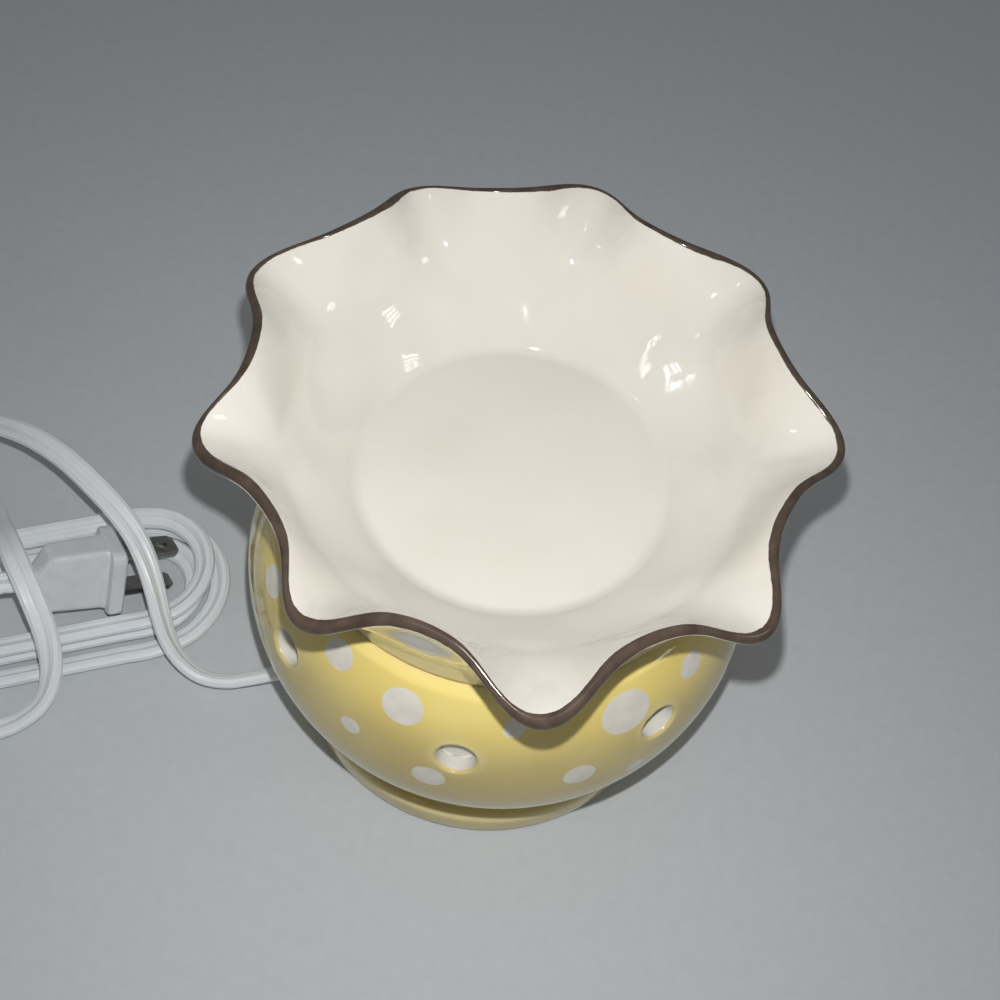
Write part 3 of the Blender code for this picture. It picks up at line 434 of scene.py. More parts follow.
# Two tones, span of roughness, grains to the metre and what else sets a finish apart
PLAIN_LOOKS = {
    "pad_rubber": ((0.20, 0.185, 0.165), (0.30, 0.28, 0.25), (0.75, 0.95), 900, {}),
    "brass": ((0.56, 0.41, 0.17), (0.76, 0.60, 0.30), (0.22, 0.42), 420, METAL),
    "steel": ((0.46, 0.46, 0.47), (0.62, 0.62, 0.63), (0.2, 0.4), 500, METAL),
    "phenolic": ((0.045, 0.040, 0.036), (0.085, 0.078, 0.07), (0.35, 0.6), 700, {}),
    "lamp_glass": ((0.95, 0.95, 0.93), (0.98, 0.98, 0.97), (0.0, 0.06), 60, CLEAR),
    "collar_glass": ((0.02, 0.02, 0.026), (0.05, 0.05, 0.06), (0.08, 0.2), 300, {}),
    "solder": ((0.48, 0.48, 0.49), (0.70, 0.70, 0.71), (0.25, 0.5), 800, METAL),
    "wire": ((0.40, 0.40, 0.41), (0.60, 0.60, 0.60), (0.25, 0.45), 900, WIRE),
    "vinyl": ((0.83, 0.87, 0.90), (0.89, 0.92, 0.94), (0.28, 0.42), 160, {"relief": 0.05}),
    "plug_vinyl": ((0.68, 0.705, 0.72), (0.75, 0.77, 0.785), (0.30, 0.42), 260, {"relief": 0.012}),
    "tie_plastic": ((0.62, 0.63, 0.64), (0.74, 0.75, 0.75), (0.4, 0.55), 500, {}),
    "blade": ((0.20, 0.195, 0.18), (0.36, 0.35, 0.32), (0.25, 0.45), 700, BLADE),
}


def make_looks():
    """The two glazes and one plain material to each other finish."""
    looks = {"body_glaze": body_glaze(), "dish_glaze": dish_glaze()}
    for name, (*look, other) in PLAIN_LOOKS.items():
        looks[name] = plain_look(name + "_look", *look, **other)
    return looks


NODE_SLOTS = {
    "pad_rubber": ["foot_pad_1", "foot_pad_2", "foot_pad_3", "foot_pad_4"],
    "brass": ["socket_nipple", "nipple_nut", "socket_contact", "socket_shell", "bulb_cap"],
    "steel": ["nipple_washer_lower", "nipple_washer_upper"],
    "phenolic": ["socket_body"],
    "lamp_glass": ["bulb_glass", "bulb_stem"],
    "collar_glass": ["bulb_collar"],
    "solder": ["bulb_tip"],
    "wire": ["bulb_lead_a", "bulb_lead_b", "bulb_filament"],
    "vinyl": ["cord_bushing", "lead_line", "lead_neutral"],
    "plug_vinyl": ["plug_body"],
    "tie_plastic": ["hank_tie"],
    "blade": ["plug_blade_line", "plug_blade_neutral"],
}


def dress_nodes(looks):
    """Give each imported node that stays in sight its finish."""
    for slot, names in NODE_SLOTS.items():
        for name in names:
            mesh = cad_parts[name].data
            mesh.materials.clear()
            mesh.materials.append(looks[slot])


# Lines and profiles


def hermite(a, b, slope_a, slope_b, count):
    """Points from a to b leaving and arriving along the given (radius, z) slopes."""
    out = []
    for t in np.linspace(0.0, 1.0, count):
        h = (2 * t**3 - 3 * t**2 + 1, t**3 - 2 * t**2 + t, 3 * t**2 - 2 * t**3, t**3 - t**2)
        ends = zip(h, (a, slope_a, b, slope_b))
        out.append(tuple(sum(share * np.array(end) for share, end in ends)))
    return out


def arc(centre, radius, start, stop, count):
    turns = np.radians(np.linspace(start, stop, count))
    return [(centre[0] + radius * math.cos(t), centre[1] + radius * math.sin(t)) for t in turns]


def reach_along(line):
    line = np.asarray(line, float)
    return np.concatenate([[0.0], np.cumsum(np.linalg.norm(np.diff(line, axis=0), axis=1))])


def point_at(line, reach, at):
    line = np.asarray(line, float)
    return np.stack([np.interp(at, reach, line[:, i]) for i in range(line.shape[1])], axis=-1)


def even_steps(line, step):
    reach = reach_along(line)
    count = max(2, int(round(reach[-1] / step)) + 1)
    return point_at(line, reach, np.linspace(0.0, reach[-1], count))


def smooth_route(points, step):
    """Even steps along a centripetal Catmull-Rom curve through the points."""
    pts = np.array(points, float)
    pts = np.vstack([2 * pts[0] - pts[1], pts, 2 * pts[-1] - pts[-2]])
    fine = []
    for i in range(1, len(pts) - 2):
        a, b, c, d = pts[i - 1:i + 3]
        spans = [max(np.linalg.norm(q - p), 1e-6) for p, q in ((a, b), (b, c), (c, d))]
        knots = np.cumsum([0.0] + [span**0.5 for span in spans])
        for t in np.linspace(knots[1], knots[2], 24, endpoint=False):
            ab = a + (b - a) * (t - knots[0]) / (knots[1] - knots[0])
            bc = b + (c - b) * (t - knots[1]) / (knots[2] - knots[1])
            cd = c + (d - c) * (t - knots[2]) / (knots[3] - knots[2])
            abc = ab + (bc - ab) * (t - knots[0]) / (knots[2] - knots[0])
            bcd = bc + (cd - bc) * (t - knots[1]) / (knots[3] - knots[1])
            fine.append(abc + (bcd - abc) * (t - knots[1]) / (knots[2] - knots[1]))
    fine.append(pts[-2])
    return even_steps(fine, step)


def blend(t):
    """Ease from 0 to 1."""
    return t * t * (3 - 2 * t)


def between(pair, w):
    return pair[0] + (pair[1] - pair[0]) * w


def grid_faces(rows, columns, closed_rows):
    last = rows if closed_rows else rows - 1
    faces = []
    for i in range(last):
        for j in range(columns):
            k, m = (i + 1) % rows, (j + 1) % columns
            faces.append((i * columns + j, i * columns + m, k * columns + m, k * columns + j))
    return faces


# Supply cord


def polar(radius, turn, z):
    return (radius * math.cos(turn), radius * math.sin(turn), z)


def hank_place(u, v, z):
    c, s = math.cos(HANK_TURN), math.sin(HANK_TURN)
    return (HANK_AT[0] + u * c - v * s, HANK_AT[1] + u * s + v * c, z)


def waist(u):
    x = (u - TIE_U) / TIE_REACH
    return math.cos(0.5 * math.pi * x) ** 2 if abs(x) < 1.0 else 0.0


def strand_point(u, v, z):
    w = waist(u)
    return hank_place(u, v - math.copysign(TIE_DRAW * w, v), z + TIE_LIFT * w)


def hank_run(side, v, z0, z1, count=11):
    places = np.linspace(HANK_FOLD_U - HANK_RUN, HANK_FOLD_U, count)
    if side > 0:
        places = places[::-1]
    parts = np.linspace(0.0, 1.0, count)
    return [strand_point(u, side * v, z0 + (z1 - z0) * blend(t)) for u, t in zip(places, parts)]


def hank_fold(right, r0, r1, z, count=6):
    centre = HANK_FOLD_U if right else HANK_FOLD_U - HANK_RUN
    start = -90.0 if right else 90.0
    out = []
    for k in range(1, count):
        t = k / count
        a = math.radians(start + 180.0 * t)
        r = r0 + (r1 - r0) * blend(t)
        out.append(hank_place(centre + r * math.cos(a), r * math.sin(a), z))
    return out


def hank_points():
    """Three loops and a last run in two layers: in on the lower layer, out on the upper one."""
    low, high = HANK_LOW, HANK_HIGH
    pts = [hank_place(HANK_FOLD_U - HANK_RUN - HANK_START, -HANK_OUT, low)]
    pts += hank_run(-1, HANK_OUT, low, low) + hank_fold(True, HANK_OUT, HANK_OUT, low)
    pts += hank_run(1, HANK_OUT, low, low) + hank_fold(False, HANK_OUT, HANK_IN, low)
    pts += hank_run(-1, HANK_IN, low, low) + hank_fold(True, HANK_IN, HANK_IN, low)
    pts += hank_run(1, HANK_IN, low, high) + hank_fold(False, HANK_IN, HANK_IN, high)
    pts += hank_run(-1, HANK_IN, high, high) + hank_fold(True, HANK_IN, HANK_OUT, high)
    pts += hank_run(1, HANK_OUT, high, high) + hank_fold(False, HANK_OUT, HANK_OUT, high)
    return pts + hank_run(-1, HANK_OUT, high, high)[:4]


def plug_matrix():
    """Plug frame in millimetres: X out along the blades, Y across to the back, Z up its width."""
    turn = Matrix.Rotation(PLUG_TURN, 4, "Z") @ Matrix.Rotation(PLUG_DIP, 4, "Y")
    return Matrix.Translation(PLUG_AT) @ turn @ Matrix.Rotation(-PLUG_LEAN, 4, "X")


def plug_point(x):
    return tuple(plug_matrix() @ Vector((x, 0.0, 0.0)))


def cord_route():
    """Centre line from the foot, over the hank's folds, round twice, through the hank to the plug."""
    start = [polar(r, CORD_TURN, CORD_HOLE_Z) for r in CORD_START_R]
    out = [(-64.0, -20.8, 5.9), (-70.6, -22.6, 5.4), (-77.6, -22.6, 6.0), (-83.6, -20.2, 9.0),
           (-87.6, -16.5, 13.8), (-90.0, -12.2, 18.8), (-92.4, -6.8, 23.6), (-95.7, -0.7, 28.0),
           (-100.0, 5.0, 31.4), (-106.2, 10.8, 34.0), (-114.4, 17.0, 35.4), (-124.8, 24.2, 35.4),
           (-136.6, 30.7, 33.4), (-149.0, 35.8, 29.2)]
    far = [(-163.0, 40.4, 22.4), (-178.0, 44.0, 13.8), (-193.0, 44.6, 6.6), (-208.0, 39.4, 3.0),
           (-222.0, 29.0, 2.7), (-233.0, 12.0, 2.7), (-238, -10, 2.7), (-234, -32, 2.7), (-224, -51, 2.7),
           (-206, -65, 2.7), (-181, -70, 2.7), (-155, -61, 2.7), (-136, -48.6, 2.7)]
    bight = [(-124.5, -42.6, 3.2), (-118.4, -37.1, 6.4), (-116.4, -30.4, 12.5), (-117.6, -23.9, 20.6),
             (-121.3, -17.5, 28.4), (-127.2, -9.6, 31.6), (-134.0, -1.1, 29.0), (-141.6, 8.0, 21.0),
             (-150.2, 18.2, 12.0)]
    inner = [(-160.4, 26.4, 5.6), (-174.0, 30.0, 2.7), (-190.0, 26.0, 2.7), (-204.0, 14.0, 2.7)]
    left = HANK_FOLD_U - HANK_RUN
    around = [(left - 28.5, 8.0), (left - 23.5, -11.5), (left - HANK_START - 5.0, -HANK_OUT)]
    around = [hank_place(u, v, HANK_LOW) for u, v in around]
    tail = [(-48.4, -17.4, 11.0), (-42.0, -15.2, 15.8), (-36.0, -11.4, 21.6), (-30.4, -7.0, 25.6)]
    tail = [hank_place(*p) for p in tail] + [plug_point(PLUG_BACK - PLUG_RELIEF), plug_point(PLUG_BACK)]
    return start + out + far + bight + inner + around + hank_points() + tail


def twin_section():
    """Outline of a flat twin lead: two ribbed lobes with a groove on each side between them."""
    right = []
    for t in np.radians(np.linspace(-CORD_LOBE_SPAN, CORD_LOBE_SPAN, 41)):
        r = CORD_LOBE_R - CORD_RIB * (0.5 - 0.5 * math.cos(CORD_RIBS * t))
        right.append((CORD_LOBE_AT + r * math.cos(t), r * math.sin(t)))
    left = [(-a, -b) for a, b in right]
    return right + [(0.0, CORD_GROOVE)] + left + [(0.0, -CORD_GROOVE)]


def carry_section(line, section, rolls):
    """Rings of a section along a line; the section's width stays level but for its roll."""
    line = np.asarray(line, float)
    ahead = np.gradient(line, axis=0)
    ahead /= np.linalg.norm(ahead, axis=1)[:, None]
    side = np.cross(ahead, (0.0, 0.0, 1.0))
    side /= np.linalg.norm(side, axis=1)[:, None]
    up = np.cross(side, ahead)
    c, s = np.cos(rolls)[:, None], np.sin(rolls)[:, None]
    wide, thick = c * side + s * up, c * up - s * side
    rings = [line + a * wide + b * thick for a, b in section]
    return np.stack(rings, axis=1)


def skin(rings):
    """Vertices and faces of a capped skin over rings of equal count."""
    count, columns = rings.shape[:2]
    faces = grid_faces(count, columns, False)
    faces.append(tuple(range(columns))[::-1])
    faces.append(tuple(range((count - 1) * columns, count * columns)))
    return rings.reshape(-1, 3), faces


def ramp(values, limits):
    """0 below the limits, 1 above them and straight between."""
    return np.clip((values - limits[0]) / (limits[1] - limits[0]), 0.0, 1.0)


def cord_rolls(line):
    """Twist along the cord: on edge by the foot, level where it rides over things, else tipped."""
    reach = reach_along(line)
    rolls = between((CORD_TIPPED, CORD_RIDING), ramp(line[:, 2], CORD_RIDE_Z))
    edgeways = 1.0 - blend(ramp(reach, CORD_EDGEWAYS_REACH))
    rolls += (CORD_EDGEWAYS - rolls) * edgeways
    for swing, span, start in CORD_WANDER:
        rolls += swing * np.sin(reach / span + start)
    padded = np.pad(rolls, CORD_ROLL_SPAN // 2, mode="edge")
    return np.convolve(padded, np.ones(CORD_ROLL_SPAN) / CORD_ROLL_SPAN, mode="valid")


def build_cord(looks):
    line = smooth_route(cord_route(), CORD_STEP)
    verts, faces = skin(carry_section(line, twin_section(), cord_rolls(line)))
    cord = make_piece("supply_cord", verts, faces, looks["vinyl"], "base")
    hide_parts("cord_lead", "cord_hank")


# Globe body


def bulge_radius(z):
    return BULGE_R * math.sqrt(max(0.0, 1.0 - ((z - BULGE_Z) / BULGE_H) ** 2))


def bulge_lean(z):
    return -(BULGE_R**2 / BULGE_H**2) * (z - BULGE_Z) / bulge_radius(z)


def centred_rows(line, step, centre_z):
    """Even steps along a profile with one row at a chosen height, and that row's index."""
    line = np.asarray(line, float)
    reach = reach_along(line)
    order = np.argsort(line[:, 1])
    centre = np.interp(centre_z, line[order, 1], reach[order])
    below = int(centre / step - ROW_GAP)
    above = int((reach[-1] - centre) / step - ROW_GAP)
    rows = point_at(line, reach, centre + step * np.arange(-below, above + 1))
    return [tuple(line[0])] + [tuple(r) for r in rows] + [tuple(line[-1])], below + 1


def foot_rows():
    """(radius, z) of the foot, from its underside out and up into the neck."""
    rows = [(r, FOOT_Z) for r in FOOT_UNDER_R]
    rows += arc((FOOT_R - FOOT_EDGE, FOOT_Z + FOOT_EDGE), FOOT_EDGE, -90, 0, 6)
    rows += [(FOOT_R, z) for z in FOOT_SIDE_Z]
    rows += arc((FOOT_R - FOOT_ROUND, FOOT_TOP_Z), FOOT_ROUND, 0, 80, 9)
    return rows + hermite(rows[-1], (NECK_R, NECK_Z), DIP_LEAVE, DIP_ARRIVE, 8)[1:-1]


def outer_wall():
    """(radius, z) of the globe's outside from the neck up to the seat."""
    rise = BULGE_LOW_Z - NECK_Z
    low = (bulge_radius(BULGE_LOW_Z), BULGE_LOW_Z)
    leave = (WALL_LEAVE[0] * rise, WALL_LEAVE[1] * rise)
    arrive = (WALL_ARRIVE * rise * bulge_lean(BULGE_LOW_Z), WALL_ARRIVE * rise)
    wall = hermite((NECK_R, NECK_Z), low, leave, arrive, 60)
    return wall + [(bulge_radius(z), z) for z in np.linspace(BULGE_LOW_Z, SEAT_Z - EDGE, 200)[1:]]


def seat_rows():
    """(radius, z) over the seat and into the mouth."""
    rows = arc((SEAT_R - SEAT_EDGE, SEAT_Z - SEAT_EDGE), SEAT_EDGE, 30, 90, 5)
    rows += arc((MOUTH_R + MOUTH_EDGE, SEAT_Z - MOUTH_EDGE), MOUTH_EDGE, 90, 180, 5)
    return rows + [(MOUTH_R, SEAT_Z - MOUTH_ROW)]


def chamber_wall():
    """(radius, z) of the globe's inside from the mouth down to the floor."""
    mouth_z = SEAT_Z - MOUTH_DEPTH
    wall = [(MOUTH_R, mouth_z)]
    wall += [(bulge_radius(z) - WALL, z) for z in np.linspace(mouth_z - EDGE, BULGE_LOW_Z, 160)]
    drop = BULGE_LOW_Z - CHAMBER_Z
    leave = (-drop * bulge_lean(BULGE_LOW_Z), -drop)
    return wall + hermite(wall[-1], (CHAMBER_FLOOR_R, CHAMBER_Z), leave, (-0.5 * drop, 0.0), 40)[1:]


def floor_rows():
    """(radius, z) of the floor in to the nipple's hole, out again below and down inside the foot."""
    rows = [(r, CHAMBER_Z) for r in FLOOR_ROWS_R + (NIPPLE_HOLE_R,)]
    rows += [(r, FLOOR_Z) for r in (NIPPLE_HOLE_R,) + FLOOR_UNDER_R + (RECESS_R,)]
    rows += [(RECESS_R + RECESS_EASE[0], FLOOR_Z - RECESS_EASE[1]), (RECESS_R + EDGE, FLOOR_Z - EDGE)]
    rows += [(between((RECESS_R, FOOT_IN_R), RECESS_FLARE), NECK_Z)]
    rows += [(FOOT_IN_R, z) for z in (FOOT_TOP_Z, FOOT_SIDE_Z[0], FOOT_Z + FOOT_IN_EDGE)]
    third = FOOT_IN_EDGE / 3
    return rows + [(FOOT_IN_R + third, FOOT_Z + third), (FOOT_IN_R + FOOT_IN_EDGE, FOOT_Z)]


def body_rows():
    """Closed (radius, z) profile of the shell and the row numbers of the hole centres, out and in."""
    column = 2 * math.pi / BODY_COLUMNS
    radius = bulge_radius(GLOW_Z)
    foot, seat = foot_rows(), seat_rows()
    outer, out_row = centred_rows(outer_wall(), radius * column, GLOW_Z)
    inside, in_row = centred_rows(chamber_wall(), (radius - WALL) * column, glow_inner()[1])
    rows = foot + outer + seat + inside + floor_rows()
    return rows, len(foot) + out_row, len(foot) + len(outer) + len(seat) + in_row


def hole_turns():
    return [GLOW_TURN + 2 * math.pi * k / GLOW_COUNT for k in range(GLOW_COUNT)]


def glow_frame(turn):
    """Centre, outward axis and the two cross directions of a light hole."""
    lean = math.atan(-bulge_lean(GLOW_Z))
    round_it = np.array([math.cos(turn), math.sin(turn), 0.0])
    outward = math.cos(lean) * round_it + math.sin(lean) * np.array([0.0, 0.0, 1.0])
    across = np.array([-math.sin(turn), math.cos(turn), 0.0])
    up = np.cross(outward, across)
    return bulge_radius(GLOW_Z) * round_it + np.array([0.0, 0.0, GLOW_Z]), outward, across, up


def glow_inner():
    """(radius, z) where a light hole's axis meets the chamber wall, and how deep that is."""
    lean = math.atan(-bulge_lean(GLOW_Z))
    depths = np.linspace(0.0, 2 * WALL, 400)
    r = bulge_radius(GLOW_Z) - depths * math.cos(lean)
    z = GLOW_Z - depths * math.sin(lean)
    gap = [abs(a - bulge_radius(b) + WALL) for a, b in zip(r, z)]
    k = int(np.argmin(gap))
    return r[k], z[k], depths[k]


def square_to_circle(a, b):
    """Direction angle that spreads a square's border evenly round a circle."""
    if abs(a) >= abs(b):
        return (0.0 if a > 0 else math.pi) + math.pi / 4 * (b / a)
    return math.copysign(math.pi / 2, b) - math.pi / 4 * (a / b)


def open_hole(points, centre, across, up, row, column, radius):
    """Ease the grid round one hole so that the ring at its border becomes a circle."""
    columns = points.shape[1]
    span = range(-HOLE_HALF - HOLE_EASE, HOLE_HALF + HOLE_EASE + 1)
    for di, dj in itertools.product(span, span):
        ring = max(abs(di), abs(dj)) - HOLE_HALF
        if ring < 0:
            continue
        i, j = row + di, (column + dj) % columns
        p = points[i, j]
        turn = square_to_circle(dj, di)
        away = ring / (HOLE_EASE + 1.0)
        reach = radius + (np.linalg.norm(p - centre) - radius) * away
        grown = centre + reach * (math.cos(turn) * across + math.sin(turn) * up)
        share = blend(1.0 - away)
        points[i, j] = share * grown + (1.0 - share) * p


def back_on_wall(points, inward):
    """Put eased points back on the shell's outer or inner wall."""
    r = np.hypot(points[..., 0], points[..., 1])
    want = np.vectorize(bulge_radius)(points[..., 2]) - inward
    return points * np.stack([want / r, want / r, np.ones_like(r)], axis=-1)


def hole_border(row, column, columns):
    """Grid places round one hole's border, in turn."""
    steps = list(range(-HOLE_HALF, HOLE_HALF))
    ring = [(-HOLE_HALF, j) for j in steps] + [(i, HOLE_HALF) for i in steps]
    ring += [(HOLE_HALF, -j) for j in steps] + [(-i, -HOLE_HALF) for i in steps]
    return [(row + i) * columns + (column + j) % columns for i, j in ring]


def ease_holes(points, row, inward, depth, lip):
    """Open all light holes in one wall of the shell."""
    eased = slice(row - HOLE_HALF - HOLE_EASE, row + HOLE_HALF + HOLE_EASE + 1)
    for k, turn in enumerate(hole_turns()):
        centre, outward, across, up = glow_frame(turn)
        open_hole(points, centre - depth * outward, across, up, row, HOLE_COLUMNS * k, GLOW_R + lip)
    points[eased] = back_on_wall(points[eased], inward)


def in_hole(row, column, hole_rows):
    """Whether a grid face lies inside a light hole's border."""
    beside = (column + HOLE_COLUMNS // 2) % HOLE_COLUMNS - HOLE_COLUMNS // 2
    level = any(-HOLE_HALF <= row - r < HOLE_HALF for r in hole_rows)
    return level and -HOLE_HALF <= beside < HOLE_HALF


def body_mesh():
    rows, out_row, in_row = body_rows()
    columns = BODY_COLUMNS
    turns = GLOW_TURN + 2 * math.pi * np.arange(columns) / columns
    points = np.array([[(r * math.cos(a), r * math.sin(a), z) for a in turns] for r, z in rows])
    depth = glow_inner()[2]
    ease_holes(points, out_row, 0.0, 0.0, GLOW_LIP)
    ease_holes(points, in_row, WALL, depth, GLOW_IN_LIP)
    verts = points.reshape(-1, 3).tolist()
    faces = grid_faces(len(rows), columns, True)
    faces = [f for f in faces if not in_hole(f[0] // columns, f[0] % columns, (out_row, in_row))]
    for k, turn in enumerate(hole_turns()):
        outer, inner = [hole_border(row, HOLE_COLUMNS * k, columns) for row in (out_row, in_row)]
        line_hole(verts, faces, turn, outer, inner, depth)
    return drop_loose(verts, faces)


def bore_steps(depth):
    """(radius, depth) down a light hole: round its outer lip, along the bore and out at its inner lip."""
    steps = [(GLOW_R + GLOW_LIP * (1 - math.sin(a)), GLOW_LIP * (1 - math.cos(a)) + GLOW_SAG)
             for a in np.radians((18, 36, 54, 72, 90))]
    steps += [(GLOW_R, 0.4 * depth), (GLOW_R, 0.7 * depth)]
    end = depth - GLOW_IN_SAG
    turned = 0.3 * GLOW_IN_LIP
    return steps + [(GLOW_R, end - GLOW_IN_LIP), (GLOW_R + turned, end - turned)]


def same_way(inner, verts, beside):
    """The inner border turned and started so that it runs beside another loop."""
    target = np.array([verts[n] for n in beside[:2]])
    ways = []
    for step in (1, -1):
        for first in range(len(inner)):
            way = [inner[(first + step * n) % len(inner)] for n in range(2)]
            ways.append((np.linalg.norm(np.array([verts[n] for n in way]) - target), first, step))
    first, step = min(ways)[1:]
    return [inner[(first + step * n) % len(inner)] for n in range(len(inner))]


def line_hole(verts, faces, turn, outer, inner, depth):
    """Rounded lips and bore of one light hole between the two walls."""
    centre, outward, across, up = glow_frame(turn)
    flow = np.array([verts[n] for n in outer]) - centre
    angles = np.arctan2(flow @ up, flow @ across)
    loops = [outer]
    for radius, sunk in bore_steps(depth):
        loops.append(list(range(len(verts), len(verts) + len(angles))))
        for a in angles:
            spoke = math.cos(a) * across + math.sin(a) * up
            verts.append((centre - sunk * outward + radius * spoke).tolist())
    loops.append(same_way(inner, verts, loops[-1]))
    for a, b in zip(loops[:-1], loops[1:]):
        for n in range(len(a)):
            m = (n + 1) % len(a)
            faces.append((a[n], a[m], b[m], b[n]))


def drop_loose(verts, faces):
    """Leave out vertices that no face uses."""
    used = sorted({n for face in faces for n in face})
    place = {n: k for k, n in enumerate(used)}
    return [verts[n] for n in used], [tuple(place[n] for n in face) for face in faces]


# Azimuth in degrees, height and diameter of the dots in front
FRONT_DOTS = [(-106.7, 83.2, 9.6), (-56.4, 82.0, 11.8), (-124.8, 85.4, 7.6), (-98.4, 64.4, 8.0),
              (-67.1, 66.7, 7.6), (-37.4, 82.8, 7.0), (-150.6, 81.3, 7.8), (-116.8, 70.3, 5.2),
              (-53.3, 59.6, 4.8), (-82.0, 83.6, 5.0)]
DOT_SIZES = (5.0, 7.6, 9.6, 11.8)
DOT_TRIES = 60
DOT_SEED = 11
DOT_Z = (21.0, 86.0)
DOT_GAP = 5.5
DOT_HOLE_GAP = 8.0
SEEN_AZIMUTH = (-178.0, -12.0)
SEEN_Z = 40.0


def wall_radius(z):
    """Outer radius of the body at a height or at many."""
    wall = np.array(outer_wall())
    return np.interp(z, wall[:, 1], wall[:, 0])


def wall_point(azimuth, z):
    return np.array(polar(wall_radius(z), math.radians(azimuth), z))


def place_dots():
    """Dots on the wall as (centre, radius): the front as seen, the rest scattered clear of each other."""
    dots = [(wall_point(azimuth, z), across / 2) for azimuth, z, across in FRONT_DOTS]
    holes = [glow_frame(turn)[0] for turn in hole_turns()]
    draw = random.Random(DOT_SEED)
    for size in sorted(DOT_SIZES * DOT_TRIES, reverse=True):
        azimuth = draw.uniform(-180.0, 180.0)
        z = draw.uniform(*DOT_Z)
        seen = SEEN_AZIMUTH[0] < azimuth < SEEN_AZIMUTH[1] and z > SEEN_Z
        centre = wall_point(azimuth, z)
        clear = all(np.linalg.norm(centre - c) > r + size / 2 + DOT_GAP for c, r in dots)
        clear = clear and all(np.linalg.norm(centre - h) > size / 2 + DOT_HOLE_GAP for h in holes)
        if clear and not seen:
            dots.append((centre, size / 2))
    return dots


# Where the body's glaze changes
NO_DOT = 50.0
DOT_SKIN = 1.2
HOLE_REACH = 8.0
HOLE_PROUD = 3.0
BORE_SLACK = 0.05
BORE_START = 0.1
HOLE_PALE = (0.35, 0.9)
FOOT_PALE = (0.8, 1.6)
FOOT_PALE_AT = (FOOT_R - 0.5, FOOT_TOP_Z + 1.0)
SEAT_PALE = (0.3, 1.4)
SEAT_PALE_AT = (SEAT_R - 0.4, SEAT_Z - 0.6)
CLAY_DEPTH = 5.0
BARE_MOUTH_R = MOUTH_R + 1.0
BARE_WALL = 2.0
BARE_FOOT_Z = FOOT_Z + 0.15
BARE_RECESS_R = FOOT_IN_R + 0.5
BARE_RECESS_Z = CHAMBER_Z + 1.0


def vertex_places(obj):
    """Places of a mesh's vertices in millimetres."""
    flat = np.empty(3 * len(obj.data.vertices), np.float32)
    obj.data.vertices.foreach_get("co", flat)
    return flat.reshape(-1, 3).astype(float) / MM


def pale(distance, mark):
    """How pale the glaze is at a distance from an edge, from that edge's strength and span."""
    return mark[0] * np.exp(-((distance / mark[1]) ** 2))


def dot_distances(points, r, z):
    """Distance to the edge of the nearest dot, which only the outside has."""
    nearest = np.full(len(points), NO_DOT)
    for centre, radius in place_dots():
        nearest = np.minimum(nearest, np.linalg.norm(points - centre, axis=1) - radius)
    return np.where(r > wall_radius(z) - DOT_SKIN, nearest, NO_DOT)


def hole_marks(points):
    """Depth in a light hole, and how pale the glaze is round one."""
    depth, lip = np.zeros(len(points)), np.zeros(len(points))
    for turn in hole_turns():
        centre, outward, across, up = glow_frame(turn)
        from_axis = np.hypot((points - centre) @ across, (points - centre) @ up)
        sunk = -((points - centre) @ outward)
        near = (from_axis < HOLE_REACH) & (sunk < HOLE_REACH) & (sunk > -HOLE_PROUD)
        bored = near & (from_axis < GLOW_R + GLOW_LIP + BORE_SLACK)
        depth = np.where(bored, np.maximum(depth, sunk - BORE_START), depth)
        lip = np.where(near, np.maximum(lip, pale(from_axis - GLOW_R - GLOW_LIP, HOLE_PALE)), lip)
    return depth, lip


def bare_clay(r, z):
    """Where the shell has no glaze: its inside, its standing ring and the recess below its floor."""
    glazed_r = np.where(z > SEAT_Z - 2 * EDGE, BARE_MOUTH_R, wall_radius(z) - BARE_WALL)
    inside = (r < glazed_r) & (z > FOOT_TOP_Z + FOOT_ROUND)
    return inside | (z < BARE_FOOT_Z) | ((r < BARE_RECESS_R) & (z < BARE_RECESS_Z))


def mark_body(obj):
    """Store what the glaze needs to know at each vertex: dots, bare clay and pale edges."""
    points = vertex_places(obj)
    r, z = np.hypot(points[:, 0], points[:, 1]), points[:, 2]
    depth, lip = hole_marks(points)
    for (edge_r, edge_z), mark in ((FOOT_PALE_AT, FOOT_PALE), (SEAT_PALE_AT, SEAT_PALE)):
        lip = np.maximum(lip, pale(np.hypot(r - edge_r, z - edge_z), mark))
    store(obj, "dot_distance", dot_distances(points, r, z))
    store(obj, "bore_depth", np.where(bare_clay(r, z), CLAY_DEPTH, depth))
    store(obj, "lip", lip)


def drill_cord_hole(obj):
    """Cut the cord's hole through the foot."""
    count = 40
    turns = 2 * math.pi * np.arange(count) / count
    rings = np.array([[(x, CORD_HOLE_R * math.cos(t), CORD_HOLE_R * math.sin(t)) for t in turns]
                      for x in (FOOT_IN_R - WALL, FOOT_R + WALL)])
    verts, faces = skin(rings)
    drill = make_piece("drill", verts, faces, body=None)
    lift = Matrix.Translation((0, 0, CORD_HOLE_Z * MM))
    drill.data.transform(Matrix.Rotation(CORD_TURN, 4, "Z") @ lift)
    cut = obj.modifiers.new("cord_hole", "BOOLEAN")
    cut.operation = "DIFFERENCE"
    cut.solver = "EXACT"
    cut.object = drill
    graph = bpy.context.evaluated_depsgraph_get()
    mesh = bpy.data.meshes.new_from_object(obj.evaluated_get(graph))
    obj.modifiers.clear()
    obj.data = mesh
    bpy.data.objects.remove(drill)


def build_body(looks):
    verts, faces = body_mesh()
    body = make_piece("body_ceramic", verts, faces, looks["body_glaze"], None)
    drill_cord_hole(body)
    mark_body(body)
    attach(body, "base")
    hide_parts("body_shell")


# Dish


